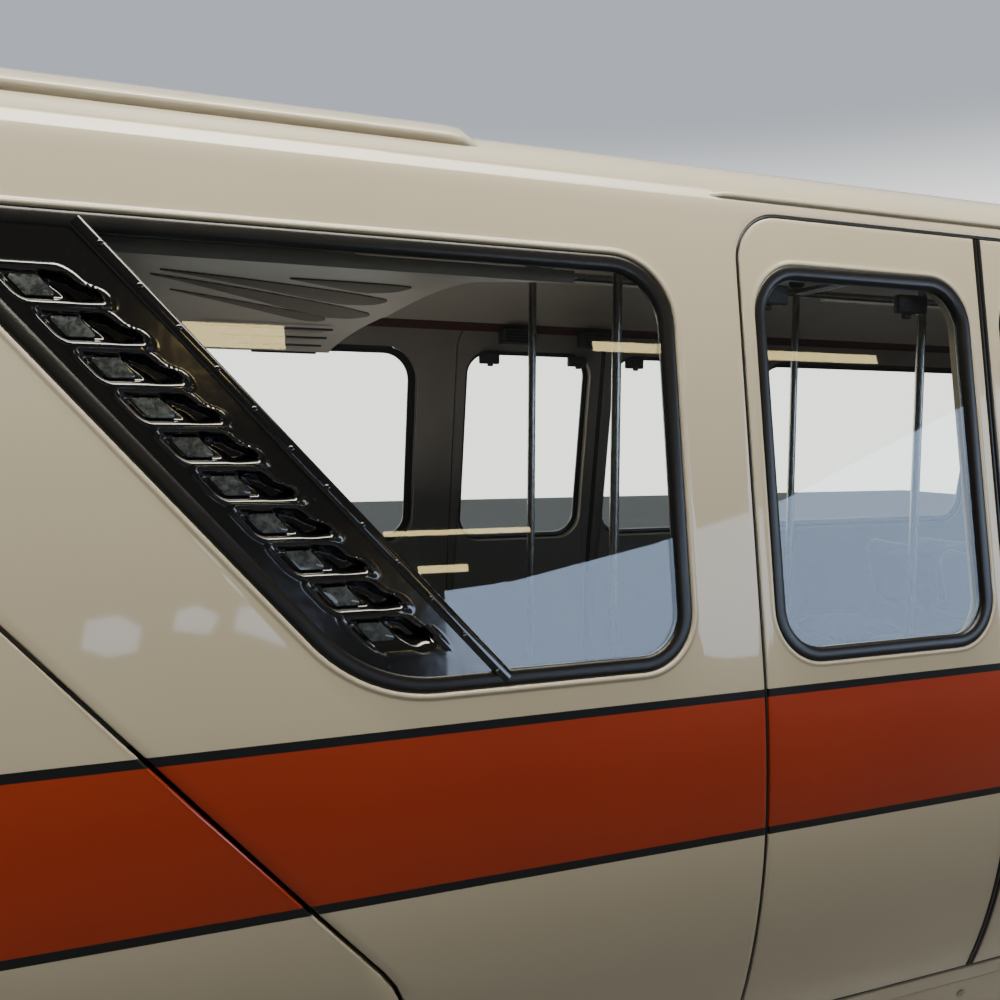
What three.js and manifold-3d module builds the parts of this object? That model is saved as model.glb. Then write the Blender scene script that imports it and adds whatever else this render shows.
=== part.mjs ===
// End car of a straddle monorail train, standing on its beam with its doors shut.
// Millimetres. +Z is up, the nose points to -X, and the origin is on the beam's top at mid length.

import * as THREE from 'three';
import { mergeVertices } from 'three/addons/utils/BufferGeometryUtils.js';
import Module from 'manifold-3d';

const wasm = await Module();
wasm.setup();

// Length: the body shell ends where the flexible end cover begins.
const noseTip = -5485;
const noseJoint = -3628;
const bodyEnd = 5285;
const coverEnd = 5485;

// Heights of the body's section and its panels' edges.
const roofTop = 2770;
const roofJoint = 2495;
const widestZ = 1048;
const floorTop = 440;
const floorUnder = 340;
const sillUnder = 400;
const skirtFoot = -600;

// Half width at the widest line and at the floor, and the section's radii.
const halfWidth = 1320;
const halfFloor = 1203;
const waistRadius = 2400;
const shoulderRadius = 175;
const roofRadius = 3160;
const sideLean = THREE.MathUtils.degToRad(8.81);
const footLean = THREE.MathUtils.degToRad(6);

// Thicknesses and clearances.
const wall = 70;
const skirtWall = 40;
const paneFront = 8;
const paneBack = 18;
const touch = 0.3;
const seam = 8;
const far = 1500;

// Door openings: x of the middle of each pair of leaves.
const doorMiddles = { door_1: -359, door_2: 3182 };
const doorHalf = 779;
const doorTop = 2472;
const doorBottom = 450;
const leafWall = 60;

// Side windows, outside of their rubber.
const windowTop = 2340;
const windowBottom = 1404;

// The slanted lines of the front window and the cab door run forward as they rise.
const slant = 0.8825;
const cabEdgeX = -2703;
const cabEdgeZ = 1584;

// Running gear.
const bogies = { front: { x: -2635, inboard: 1 }, rear: { x: 4600, inboard: -1 } };
const loadRadius = 500;
const guideRadius = 200;
const guideSide = 530;
const guideReach = 450;
const upperGuideZ = -150;
const lowerGuideZ = -480;
const guideThick = 130;
const hubRise = 25;

// Grab poles stand at the four corners of each doorway's standing space.
const poleSide = 363;
const poleReach = 638;
const poleShift = -50;
const poleRadius = 16;

const paints = {
  body: { color: 0xcfc8b6, roughness: 0.3, metalness: 0 },
  black: { color: 0x0c0c0d, roughness: 0.2, metalness: 0 },
  glass: { color: 0x2b3336, roughness: 0.05, metalness: 0 },
  inside: { color: 0x8b857b, roughness: 0.6, metalness: 0 },
  seat: { color: 0x3b4657, roughness: 0.8, metalness: 0 },
  steel: { color: 0xb5b7b8, roughness: 0.35, metalness: 0.9 },
  iron: { color: 0x2a2b2d, roughness: 0.6, metalness: 0.5 },
  rubber: { color: 0x161616, roughness: 0.8, metalness: 0 },
};

const car = new THREE.Group();

function addMesh(name, geometry, paint, parent = car) {
  const mesh = new THREE.Mesh(geometry, new THREE.MeshStandardMaterial(paints[paint]));
  mesh.name = name;
  parent.add(mesh);
  return mesh;
}

// Turns a closed geometry into a solid whose faces point out.
function solidOf(geometry) {
  const bare = geometry.clone();
  bare.deleteAttribute('normal');
  bare.deleteAttribute('uv');
  const merged = mergeVertices(bare, 1e-3);
  const position = merged.getAttribute('position');
  const index = merged.getIndex().array;
  const corners = [0, 1, 2].map(() => new THREE.Vector3());
  const triangles = [];
  let volume = 0;
  for (let i = 0; i < index.length; i += 3) {
    const [a, b, c] = [index[i], index[i + 1], index[i + 2]];
    if (a === b || b === c || c === a) continue;
    corners.forEach((corner, k) => corner.fromBufferAttribute(position, index[i + k]));
    volume += corners[0].dot(corners[1].clone().cross(corners[2]));
    triangles.push(a, b, c);
  }
  if (volume < 0) triangles.reverse();
  const mesh = new wasm.Mesh({
    numProp: 3,
    vertProperties: new Float32Array(position.array),
    triVerts: new Uint32Array(triangles),
  });
  return new wasm.Manifold(mesh);
}

function geometryOf(solid) {
  const mesh = solid.getMesh();
  const geometry = new THREE.BufferGeometry();
  geometry.setAttribute('position', new THREE.BufferAttribute(mesh.vertProperties, 3));
  geometry.setIndex(new THREE.BufferAttribute(mesh.triVerts, 1));
  geometry.computeVertexNormals();
  return geometry;
}

function joined(solids) {
  return solids.reduce((sum, solid) => sum.add(solid));
}

function cutBy(solid, tools) {
  return tools.reduce((rest, tool) => rest.subtract(tool), solid);
}

// A box from its limits along each axis.
function box([x0, x1], [y0, y1], [z0, z1]) {
  const geometry = new THREE.BoxGeometry(x1 - x0, y1 - y0, z1 - z0);
  geometry.translate((x0 + x1) / 2, (y0 + y1) / 2, (z0 + z1) / 2);
  return solidOf(geometry);
}

// A round bar between two points.
function bar(from, to, radius, sides = 12) {
  const start = new THREE.Vector3(...from);
  const along = new THREE.Vector3(...to).sub(start);
  const geometry = new THREE.CylinderGeometry(radius, radius, along.length(), sides);
  geometry.translate(0, along.length() / 2, 0);
  const up = new THREE.Vector3(0, 1, 0);
  geometry.applyQuaternion(new THREE.Quaternion().setFromUnitVectors(up, along.normalize()));
  geometry.translate(...from);
  return solidOf(geometry);
}

// A solid through rings of points [x, y, z], closed by flat ends. u and v are the axes that the
// end faces spread along.
function loft(rings, u, v) {
  const count = rings[0].length;
  const flat = rings[0].map((point) => new THREE.Vector2(point[u], point[v]));
  const cap = THREE.ShapeUtils.triangulateShape(flat, []);
  const last = (rings.length - 1) * count;
  const lidTurn = Math.sign(THREE.ShapeUtils.area(flat));
  const faces = cap.flatMap(([a, b, c]) => [a, c, b, last + a, last + b, last + c]);
  for (let i = 0; i < rings.length - 1; i += 1) {
    for (let j = 0; j < count; j += 1) {
      const a = i * count + j;
      const b = i * count + (j + 1) % count;
      const side = [a, b, b + count, a, b + count, a + count];
      faces.push(...(lidTurn > 0 ? side : side.reverse()));
    }
  }
  const geometry = new THREE.BufferGeometry();
  geometry.setAttribute('position', new THREE.Float32BufferAttribute(rings.flat(2), 3));
  geometry.setIndex(faces);
  return solidOf(geometry);
}

// A side-view outline [x, z] carried across the car from y0 to y1.
function across(outlineFrom, y0, y1, outlineTo = outlineFrom) {
  const from = outlineFrom.map(([x, z]) => [x, y0, z]);
  const to = outlineTo.map(([x, z]) => [x, y1, z]);
  return loft([from, to], 0, 2);
}

// A convex outline from corners [x, z, radius], moved outwards by grow, with arcs at its corners.
function outline(corners, grow = 0) {
  const count = corners.length;
  const turn = Math.sign(THREE.ShapeUtils.area(corners.map(([x, y]) => ({ x, y }))));
  const edges = corners.map(([x, z], i) => {
    const [nextX, nextZ] = corners[(i + 1) % count];
    const length = Math.hypot(nextX - x, nextZ - z);
    const out = [turn * (nextZ - z) / length, turn * (x - nextX) / length];
    return { out, reach: out[0] * x + out[1] * z + grow };
  });
  return corners.flatMap(([, , radius], i) => {
    const before = edges[(i + count - 1) % count];
    const after = edges[i];
    const r = Math.max(radius + grow, 0);
    const spread = before.out[0] * after.out[1] - before.out[1] * after.out[0];
    const reachA = before.reach - r;
    const reachB = after.reach - r;
    const x = (reachA * after.out[1] - reachB * before.out[1]) / spread;
    const z = (before.out[0] * reachB - after.out[0] * reachA) / spread;
    if (radius === 0) return [[x, z]];
    const start = Math.atan2(before.out[1], before.out[0]);
    const sweep = Math.atan2(spread, before.out[0] * after.out[0] + before.out[1] * after.out[1]);
    const steps = Math.max(2, Math.round(Math.abs(sweep) / 0.4));
    return Array.from({ length: steps + 1 }, (_, k) => {
      const angle = start + sweep * k / steps;
      return [x + r * Math.cos(angle), z + r * Math.sin(angle)];
    });
  });
}

// Points [y, z] of an arc.
function arc(y, z, radius, from, to, steps) {
  return Array.from({ length: steps + 1 }, (_, k) => {
    const angle = from + (to - from) * k / steps;
    return [y + radius * Math.cos(angle), z + radius * Math.sin(angle)];
  });
}

// Half of the body's section from the skirt's foot to the crown: a hollow skirt arc, the belly arc,
// the waist arc, a straight leaning side, the shoulder arc and the roof arc.
function halfSection() {
  const drop = widestZ - floorTop;
  const tuck = halfWidth - halfFloor;
  const bellyRadius = (drop * drop + tuck * tuck) / (2 * tuck);
  const bellyLean = Math.asin(drop / bellyRadius);
  const skirtRadius = (floorTop - skirtFoot) / (Math.sin(bellyLean) - Math.sin(footLean));
  const skirtY = halfFloor + skirtRadius * Math.cos(bellyLean);
  const skirtZ = floorTop - skirtRadius * Math.sin(bellyLean);
  const out = new THREE.Vector2(Math.cos(sideLean), Math.sin(sideLean));
  const up = new THREE.Vector2(-out.y, out.x);
  const waist = new THREE.Vector2(halfWidth - waistRadius, widestZ);
  const roofCentre = new THREE.Vector2(0, roofTop - roofRadius);
  const offset = out.clone().multiplyScalar(out.dot(waist) + waistRadius - shoulderRadius);
  offset.sub(roofCentre);
  const span = roofRadius - shoulderRadius;
  const rise = Math.sqrt(offset.dot(up) ** 2 - offset.lengthSq() + span * span) - offset.dot(up);
  const shoulder = offset.add(roofCentre).addScaledVector(up, rise);
  const roofStart = Math.atan2(shoulder.y - roofCentre.y, shoulder.x);
  return [
    ...arc(skirtY, skirtZ, skirtRadius, Math.PI - footLean, Math.PI - bellyLean, 4).slice(0, -1),
    ...arc(halfWidth - bellyRadius, widestZ, bellyRadius, -bellyLean, 0, 4).slice(0, -1),
    ...arc(waist.x, waist.y, waistRadius, 0, sideLean, 2),
    ...arc(shoulder.x, shoulder.y, shoulderRadius, sideLean, roofStart, 5).slice(0, -1),
    ...arc(0, roofCentre.y, roofRadius, roofStart, Math.PI / 2, 4),
  ];
}

// The nose's sections. Width is a share of the full width. Top and foot are heights, and the
// section is stretched up and down between them and the bumper line.
const bumperZ = 600;
const stations = [
  { x: noseTip, width: 0.34, top: 880, foot: 190 },
  { x: -5455, width: 0.43, top: 1010, foot: 40 },
  { x: -5390, width: 0.53, top: 1150, foot: -140 },
  { x: -5260, width: 0.65, top: 1290, foot: -340 },
  { x: -5080, width: 0.75, top: 1430, foot: -480 },
  { x: -4880, width: 0.825, top: 1600, foot: -560 },
  { x: -4600, width: 0.893, top: 1850, foot: -590 },
  { x: -4200, width: 0.95, top: 2210, foot: skirtFoot },
  { x: -3800, width: 0.984, top: 2545, foot: skirtFoot },
  { x: -3560, width: 0.996, top: 2720, foot: skirtFoot },
  { x: -3300, width: 1, top: roofTop, foot: skirtFoot },
  { x: bodyEnd, width: 1, top: roofTop, foot: skirtFoot },
];

function sectionRing({ x, width, top, foot }, half) {
  const right = half.map(([y, z]) => {
    const over = z > bumperZ;
    const stretch = over ? (top - bumperZ) / (roofTop - bumperZ) : (bumperZ - foot) / (bumperZ - skirtFoot);
    return [x, y * width, bumperZ + (z - bumperZ) * stretch];
  });
  const left = right.slice(0, -1).reverse().map(([px, y, z]) => [px, -y, z]);
  return [...right, ...left];
}

// The whole outer form moved inwards by depth. An inner form starts behind the nose's front wall
// and runs out past the body's end and below the skirts' feet.
const footRunOut = 300;
const outerRings = stations.map((station) => sectionRing(station, halfSection()));

function hull(depth) {
  const point = (i, j) => new THREE.Vector3(...outerRings[i][j]);
  const rows = outerRings.length - 1;
  const columns = outerRings[0].length - 1;
  const rings = outerRings.map((ring, i) => ring.map((_, j) => {
    const along = point(Math.min(i + 1, rows), j).sub(point(Math.max(i - 1, 0), j));
    const round = point(i, Math.min(j + 1, columns)).sub(point(i, Math.max(j - 1, 0)));
    const inwards = along.cross(round).normalize();
    return point(i, j).addScaledVector(inwards, depth).toArray();
  }));
  if (depth === 0) return loft(rings, 1, 2);
  rings.forEach((ring) => [ring[0], ring[columns]].forEach((foot) => {
    foot[2] -= footRunOut;
  }));
  const runOut = rings[rows].map(([, y, z]) => [bodyEnd + far, y, z]);
  return loft([...rings.slice(2, -1), rings[rows], runOut], 1, 2);
}

const outer = hull(0);
const inner = hull(wall);
const lining = hull(wall + touch);
const shell = outer.subtract(inner);
const paneBand = hull(paneFront).subtract(hull(paneBack));

const sides = { left: -1, right: 1 };

// The half of space on one side of the car, between two x and two z.
function sideBox(side, xs, zs) {
  return box(xs, side < 0 ? [-far, -1] : [1, far], zs);
}

function throughSide(side, points) {
  return across(points, side * 600, side * far);
}

// Side openings.
const frontWindow = [
  [-2903, windowTop, 60],
  [-1319, windowTop, 160],
  [-1319, windowBottom, 130],
  [-2077, windowBottom, 339],
];
const centreWindow = windowCorners(605, 2220);
const rearWindow = windowCorners(4145, 5015);

function windowCorners(x0, x1) {
  return [
    [x0, windowTop, 130],
    [x1, windowTop, 130],
    [x1, windowBottom, 130],
    [x0, windowBottom, 130],
  ];
}

function doorCorners(middle) {
  return [
    [middle - doorHalf, doorTop, 125],
    [middle + doorHalf, doorTop, 125],
    [middle + doorHalf, doorBottom, 20],
    [middle - doorHalf, doorBottom, 20],
  ];
}

// The cab door hinges at its upright front edge. Its rear edge keeps the slanted line.
function cabEdge(z) {
  return cabEdgeX - (z - cabEdgeZ) * slant;
}
const cabDoorFront = noseJoint + seam;
const cabDoorTop = 2250;
const cabDoor = [
  [cabDoorFront, cabDoorTop, 60],
  [cabEdge(cabDoorTop), cabDoorTop, 60],
  [cabEdge(doorBottom), doorBottom, 235],
  [cabDoorFront, doorBottom, 60],
];
const cabWindow = [
  [cabDoorFront + 60, 2195, 50],
  [cabEdge(2195) - 45, 2195, 30],
  [cabEdge(1610) - 45, 1610, 30],
  [cabDoorFront + 60, 1610, 50],
];
const cabHinge = { x: noseJoint + 12, y: 1294, z: 1415, lean: 0.125 };
const cabHingeHeights = [960, 1960];
const knuckle = { radius: 9, half: 25, door: 40, arm: 75 };
const edgeTaper = 0.15;

// The cab door's edges narrow towards the cab, so that it can swing out.
function taperedCabDoor(side, grow) {
  const within = 1000;
  return across(
    outline(cabDoor, grow + (far - halfWidth) * edgeTaper),
    side * far,
    side * within,
    outline(cabDoor, grow - (halfWidth - within) * edgeTaper),
  );
}

function addSideWall(name, side) {
  const blank = shell.intersect(sideBox(side, [noseJoint + touch, bodyEnd], [sillUnder, roofJoint]));
  const openings = [frontWindow, centreWindow, rearWindow].map((corners) => outline(corners));
  const doors = Object.values(doorMiddles).map((middle) => outline(doorCorners(middle)));
  const tools = [...openings, ...doors].map((points) => throughSide(side, points));
  const frontPost = sideBox(side, [noseJoint, cabDoorFront + 80], [doorBottom, cabDoorTop]);
  const wallSolid = cutBy(blank, [...tools, taperedCabDoor(side, seam), frontPost]);
  addMesh(`${name}_side_wall`, geometryOf(wallSolid), 'body');
}

// Where the dark louvre panel meets the glass of the front window.
const louvreTopX = -2600;
const louvreFootX = -1755;

function louvreHalfPlane(shift, front) {
  const edge = [
    [louvreTopX + shift, windowTop + 50],
    [louvreFootX + shift, windowBottom - 50],
  ];
  const back = front ? -far * 2.4 : -900;
  return [...edge, [back, windowBottom - 50], [back, windowTop + 50]];
}

function addSideGlass(name, side) {
  const panes = {
    front: across(louvreHalfPlane(touch, false), side * 600, side * far),
    centre: sideBox(side, [0, bodyEnd / 2], [0, roofTop]),
    rear: sideBox(side, [bodyEnd / 2, bodyEnd], [0, roofTop]),
  };
  const outlines = { front: frontWindow, centre: centreWindow, rear: rearWindow };
  for (const [place, corners] of Object.entries(outlines)) {
    const opening = throughSide(side, outline(corners, -touch));
    const pane = paneBand.intersect(opening).intersect(panes[place]);
    addMesh(`${name}_${place}_glass`, geometryOf(pane), 'glass');
  }
}

// Ten pockets follow the slanted line down the louvre panel.
const pocket = { x: -2659, z: 2198, stepX: 68, stepZ: -73.7, count: 10, half: 25 };

function addLouvrePanel(name, side) {
  const opening = throughSide(side, outline(frontWindow, -touch));
  const frontPart = across(louvreHalfPlane(-touch, true), side * 600, side * far);
  const band = hull(6).subtract(hull(46)).intersect(opening).intersect(frontPart);
  const deep = hull(30);
  const pockets = Array.from({ length: pocket.count }, (_, k) => {
    const x = pocket.x + k * pocket.stepX;
    const z = pocket.z + k * pocket.stepZ;
    const lean = pocket.half * slant;
    const corners = [
      [x - 52 - lean, z + pocket.half, 0],
      [x + 148 - lean, z + pocket.half, 0],
      [x + 148 + lean, z - pocket.half, 0],
      [x - 52 + lean, z - pocket.half, 0],
    ];
    return throughSide(side, outline(corners)).subtract(deep);
  });
  addMesh(`${name}_louvre_panel`, geometryOf(cutBy(band, pockets)), 'black');
}

// Two leaves close each doorway and meet in the middle. Each has its own window, and a hanger at
// its head and a guide at its foot, behind the seam.
function addDoorLeaves(name, side) {
  const leafBand = outer.subtract(hull(leafWall));
  const hangerBand = hull(leafWall / 2).subtract(hull(leafWall));
  for (const [door, middle] of Object.entries(doorMiddles)) {
    const doorway = throughSide(side, outline(doorCorners(middle), -seam));
    for (const [leaf, way] of Object.entries({ a: -1, b: 1 })) {
      const reach = [middle + way * touch / 2, middle + way * far].sort((p, q) => p - q);
      const edges = [middle + way * 64, middle + way * 725].sort((p, q) => p - q);
      const corners = [
        [edges[0], 2337, 118],
        [edges[1], 2337, 118],
        [edges[1], 1402, 118],
        [edges[0], 1402, 118],
      ];
      const whole = leafBand.intersect(doorway).intersect(sideBox(side, reach, [0, roofTop]));
      const hangers = [[doorTop - 40, doorTop - touch], [doorBottom + touch, doorBottom + 40]].map((zs) => (
        hangerBand.intersect(sideBox(side, [edges[0] + 280, edges[0] + 380], zs))
      ));
      const body = joined([whole.subtract(throughSide(side, outline(corners))), ...hangers]);
      const pane = paneBand.intersect(throughSide(side, outline(corners, -touch)));
      addMesh(`${name}_${door}_leaf_${leaf}`, geometryOf(body), 'body');
      addMesh(`${name}_${door}_glass_${leaf}`, geometryOf(pane), 'glass');
    }
  }
}

// A point on the cab door's leaning hinge line.
function hingePoint(side, z) {
  return [cabHinge.x, side * (cabHinge.y - cabHinge.lean * (z - cabHinge.z)), z];
}

function hingeBarrel(side, z0, z1) {
  return bar(hingePoint(side, z0), hingePoint(side, z1), knuckle.radius, 8);
}

// The hinge's fixed barrel, with the arm that carries it round the nose shell's edge.
function fixedKnuckle(side, z) {
  const [x, y] = hingePoint(side, z);
  const ys = [side * (Math.abs(y) - knuckle.arm), side * (Math.abs(y) + 4)].sort((p, q) => p - q);
  const arm = box([x - 50, x - 2], ys, [z - knuckle.half + 2, z + knuckle.half - 2]);
  return arm.add(hingeBarrel(side, z - knuckle.half, z + knuckle.half));
}

function doorKnuckles(side, z) {
  const [x, y] = hingePoint(side, z);
  const ys = [side * (Math.abs(y) - knuckle.arm), side * (Math.abs(y) + 4)].sort((p, q) => p - q);
  const ends = [[z + knuckle.half + touch, 1], [z - knuckle.half - touch, -1]];
  return joined(ends.map(([start, way]) => {
    const end = start + way * knuckle.door;
    const zs = [start + way * 2, end - way * 2].sort((p, q) => p - q);
    return box([x + 2, x + 45], ys, zs).add(hingeBarrel(side, start, end));
  }));
}

function addCabDoor(name, side) {
  const notches = cabHingeHeights.map((z) => {
    const zs = [z - knuckle.half - touch, z + knuckle.half + touch];
    return sideBox(side, [cabHinge.x - 30, cabHinge.x + 22], zs);
  });
  const panel = shell.intersect(taperedCabDoor(side, 0));
  const open = cutBy(panel, [throughSide(side, outline(cabWindow)), ...notches]);
  const whole = joined([open, ...cabHingeHeights.map((z) => doorKnuckles(side, z))]);
  const pane = paneBand.intersect(throughSide(side, outline(cabWindow, -touch)));
  addMesh(`${name}_cab_door`, geometryOf(whole), 'body');
  addMesh(`${name}_cab_glass`, geometryOf(pane), 'glass');
}

// The windscreen wraps round the nose above a line that falls forward.
const screenRear = -3700;
const screen = [
  [screenRear, 1600, 80],
  [-5100, 1400, 0],
  [-5800, 1400, 0],
  [-5800, 3200, 0],
  [screenRear, 3200, 0],
];
const noseWall = 60;

function addNose() {
  const inside = hull(noseWall);
  const whole = outer.subtract(inside).intersect(box([noseTip - far, noseJoint], [-far, far], [-far, 2 * far]));
  const beamSlot = box([noseTip - far, noseJoint + far], [-430, 430], [-far, 60]);
  const cut = cutBy(whole, [across(outline(screen), -far, far), beamSlot]);
  const knuckles = Object.values(sides).flatMap((side) => cabHingeHeights.map((z) => fixedKnuckle(side, z)));
  addMesh('nose_shell', geometryOf(joined([cut, ...knuckles])), 'body');
  const pane = hull(4).subtract(hull(18)).intersect(across(outline(screen, -touch), -far, far));
  addMesh('windscreen', geometryOf(pane), 'glass');
}

// A low hood lies over the front of the roof, and a drip rail above each doorway.
const hood = { x0: -3560, x1: -1770, under: 2562, rise: 22 };
const dripRail = { reach: 852, under: 2500, top: 2519, rise: 9 };

function addRoof() {
  const zs = [roofJoint + touch, roofTop + far];
  const panel = shell.intersect(box([noseJoint + touch, bodyEnd], [-far, far], zs));
  const hoodBox = box([hood.x0, hood.x1], [-far, far], [hood.under, roofTop + far]);
  const core = hull(wall / 2);
  const hoodSheet = hull(-hood.rise).subtract(core).intersect(hoodBox);
  const railBand = hull(-dripRail.rise).subtract(core);
  const rails = Object.values(doorMiddles).map((middle) => {
    const xs = [middle - dripRail.reach, middle + dripRail.reach];
    return railBand.intersect(box(xs, [-far, far], [dripRail.under, dripRail.top]));
  });
  addMesh('roof', geometryOf(joined([panel, hoodSheet, ...rails])), 'body');
}

// Each load wheel turns inside a housing that stands up through the floor.
const housing = { inX: 545, inY: 420, inTop: 1060, sheet: 25 };
const drawbar = { x0: 5150, x1: 5470, half: 90, under: 190, top: 310, lug: 100 };

function addFloor() {
  const plate = lining.intersect(box([-5200, bodyEnd], [-far, far], [floorUnder, floorTop]));
  const { inX, inY, inTop, sheet } = housing;
  const places = Object.values(bogies).map(({ x }) => x);
  const raised = places.map((x) => box(
    [x - inX - sheet, x + inX + sheet],
    [-inY - sheet, inY + sheet],
    [floorUnder, inTop + sheet],
  ));
  const hollows = places.map((x) => box([x - inX, x + inX], [-inY, inY], [0, inTop]));
  const { x0, x1, half, under, top, lug } = drawbar;
  const coupling = box([x0, x1], [-half, half], [under, top]);
  const bracket = box([x0, x0 + lug], [-half, half], [under, floorUnder + 1]);
  addMesh('floor_pan', geometryOf(cutBy(joined([plate, ...raised, coupling, bracket]), hollows)), 'iron');
}

function addSkirts() {
  const band = outer.subtract(hull(skirtWall));
  for (const [name, side] of Object.entries(sides)) {
    const part = sideBox(side, [noseJoint + touch, bodyEnd], [skirtFoot - far, sillUnder - touch]);
    addMesh(`${name}_skirt`, geometryOf(band.intersect(part)), 'body');
  }
}

function addEnd() {
  const plate = box([bodyEnd - wall, bodyEnd], [-far, far], [floorTop + touch, roofTop]);
  addMesh('rear_bulkhead', geometryOf(lining.intersect(plate)), 'inside');
  const corners = [[-1010, 2500, 260], [1010, 2500, 260], [1080, 380, 120], [-1080, 380, 120]];
  const folds = 4;
  const depth = 45;
  const length = coverEnd - bodyEnd - touch;
  const rings = Array.from({ length: 2 * folds + 1 }, (_, k) => {
    const x = bodyEnd + touch + length * k / (2 * folds);
    return outline(corners, k % 2 ? 0 : depth).map(([y, z]) => [x, y, z]);
  });
  const bore = [bodyEnd - 10, coverEnd + 10].map((x) => outline(corners, -40).map(([y, z]) => [x, y, z]));
  addMesh('end_cover', geometryOf(loft(rings, 1, 2).subtract(loft(bore, 1, 2))), 'rubber');
}

// Inside: a slanted wall behind the cab, benches, the desk with the driver's seat, and poles.
const partitionFootX = -1640;
const partitionBendZ = 1080;

function partitionX(z) {
  return partitionFootX - Math.max(z - partitionBendZ, 0) * slant;
}

function addCabWall() {
  const topX = partitionX(2760);
  const points = [
    [partitionFootX, floorTop + touch],
    [partitionFootX, partitionBendZ],
    [topX, 2760],
    [topX - 55, 2760],
    [partitionFootX - 40, partitionBendZ - 17],
    [partitionFootX - 40, floorTop + touch],
  ];
  addMesh('cab_wall', geometryOf(lining.intersect(across(points, -far, far))), 'inside');
}

const benchFoot = floorTop + touch;

function addBenches() {
  const front = [
    [partitionX(floorTop) + 2 * touch, benchFoot],
    [-1200, benchFoot],
    [-1160, 860],
    [-1110, 880],
    [-1110, 930],
    [-1510, 930],
    [-1790, 1380],
    [-1840, 1400],
    [partitionX(1400) + 2 * touch, 1400],
    [partitionX(partitionBendZ) + 2 * touch, partitionBendZ],
  ];
  const middle = 1412;
  const half = [
    [-500, benchFoot],
    [-560, 860],
    [-700, 880],
    [-700, 930],
    [-230, 930],
    [-90, 1400],
  ].map(([x, z]) => [middle + x, z]);
  const centre = [...half, ...half.map(([x, z]) => [2 * middle - x, z]).reverse()];
  const rear = [
    [4180, benchFoot],
    [4140, 860],
    [4090, 880],
    [4090, 930],
    [4620, 930],
    [4760, 1400],
    [4900, 1400],
    [4900, benchFoot],
  ];
  const width = 1040;
  const { inX, inY, inTop, sheet } = housing;
  const x = bogies.rear.x;
  const clearOfHousing = box(
    [x - inX - sheet - touch, x + far],
    [-inY - sheet - touch, inY + sheet + touch],
    [0, inTop + sheet + touch],
  );
  addMesh('front_bench', geometryOf(across(front, -width, width)), 'seat');
  addMesh('centre_bench', geometryOf(across(centre, -width, width)), 'seat');
  addMesh('rear_bench', geometryOf(across(rear, -width, width).subtract(clearOfHousing)), 'seat');
}

function addCabDesk() {
  const plinth = box([-4350, -3330], [-330, 330], [floorTop + touch, 520]);
  const desk = across([
    [-4760, benchFoot],
    [-4330, benchFoot],
    [-4330, 1090],
    [-4420, 1230],
    [-4760, 1180],
  ], -640, 640);
  const seat = across([
    [-3900, 760],
    [-3430, 740],
    [-3330, 1500],
    [-3410, 1510],
    [-3500, 860],
    [-3900, 870],
  ], -240, 240);
  const post = bar([-3640, 0, 510], [-3640, 0, 800], 70);
  addMesh('cab_desk', geometryOf(joined([plinth, desk, seat, post])), 'inside');
}

function addPoles() {
  const railZ = 2600;
  const top = 2668;
  const columns = Object.values(doorMiddles).flatMap((middle) => [-1, 1].map((way) => (
    middle + poleShift + way * poleReach
  )));
  const rows = [-poleSide, poleSide];
  const poles = columns.flatMap((x) => rows.map((y) => (
    bar([x, y, floorTop + touch], [x, y, top], poleRadius, 8)
  )));
  const rails = rows.map((y) => bar([columns[0], y, railZ], [columns[3], y, railZ], poleRadius, 8));
  const links = columns.map((x) => bar([x, rows[0], railZ], [x, rows[1], railZ], poleRadius, 8));
  addMesh('grab_poles', geometryOf(joined([...poles, ...rails, ...links])), 'steel');
}

// A bogie's frame lies over the beam, with hangers down both sides of it.
const frame = { outer: 660, inner: 1050, half: 640, under: 90, top: 170 };
const trunnion = { in: 318, out: 362, half: 110, top: 590, bore: 46.2 };
const axleRadius = 45;

function bogieFrame(inboard) {
  const along = (a, b) => [inboard * a, inboard * b].sort((p, q) => p - q);
  const plate = box(along(-frame.outer, frame.inner), [-frame.half, frame.half], [frame.under, frame.top]);
  const well = box([-400, 400], [-trunnion.in, trunnion.in], [0, 300]);
  const motor = box(along(560, 1000), [-230, 230], [frame.top - 1, 322]);
  const cheeks = Object.values(sides).map((side) => {
    const ys = [side * trunnion.in, side * trunnion.out].sort((p, q) => p - q);
    return box([-trunnion.half, trunnion.half], ys, [frame.under, trunnion.top]);
  });
  const bore = bar([0, -420, loadRadius], [0, 420, loadRadius], trunnion.bore, 16);
  const springs = Object.values(sides).map((side) => (
    bar([0, side * guideSide, frame.top - 1], [0, side * guideSide, floorUnder - touch], 110, 14)
  ));
  const hangers = Object.values(sides).flatMap((side) => [
    ...[-guideReach, guideReach].map((x) => [x, side * guideSide, upperGuideZ]),
    [0, side * guideSide, lowerGuideZ],
  ]).map(([x, y, z]) => bar([x, y, z + guideThick / 2 + hubRise + touch], [x, y, frame.under + 1], 42, 8));
  return cutBy(joined([plate.subtract(well), motor, ...cheeks, ...springs, ...hangers]), [bore]);
}

// Two load tyres on one axle, turned about Y. The profile is [radius, y].
function loadWheels() {
  const tyreIn = 25;
  const tyreOut = 305;
  const rim = 300;
  const half = [
    [0, 374],
    [axleRadius, 374],
    [axleRadius, tyreOut - 35],
    [rim, tyreOut - 60],
    [rim, tyreOut - 6],
    [loadRadius - 50, tyreOut],
    [loadRadius, tyreOut - 45],
    [loadRadius, tyreIn + 45],
    [loadRadius - 50, tyreIn],
    [120, tyreIn + 40],
    [120, 0],
  ];
  const whole = [...half, ...half.slice(0, -1).reverse().map(([r, y]) => [r, -y])];
  return new THREE.LatheGeometry(whole.map(([r, y]) => new THREE.Vector2(r, y)), 24);
}

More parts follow.
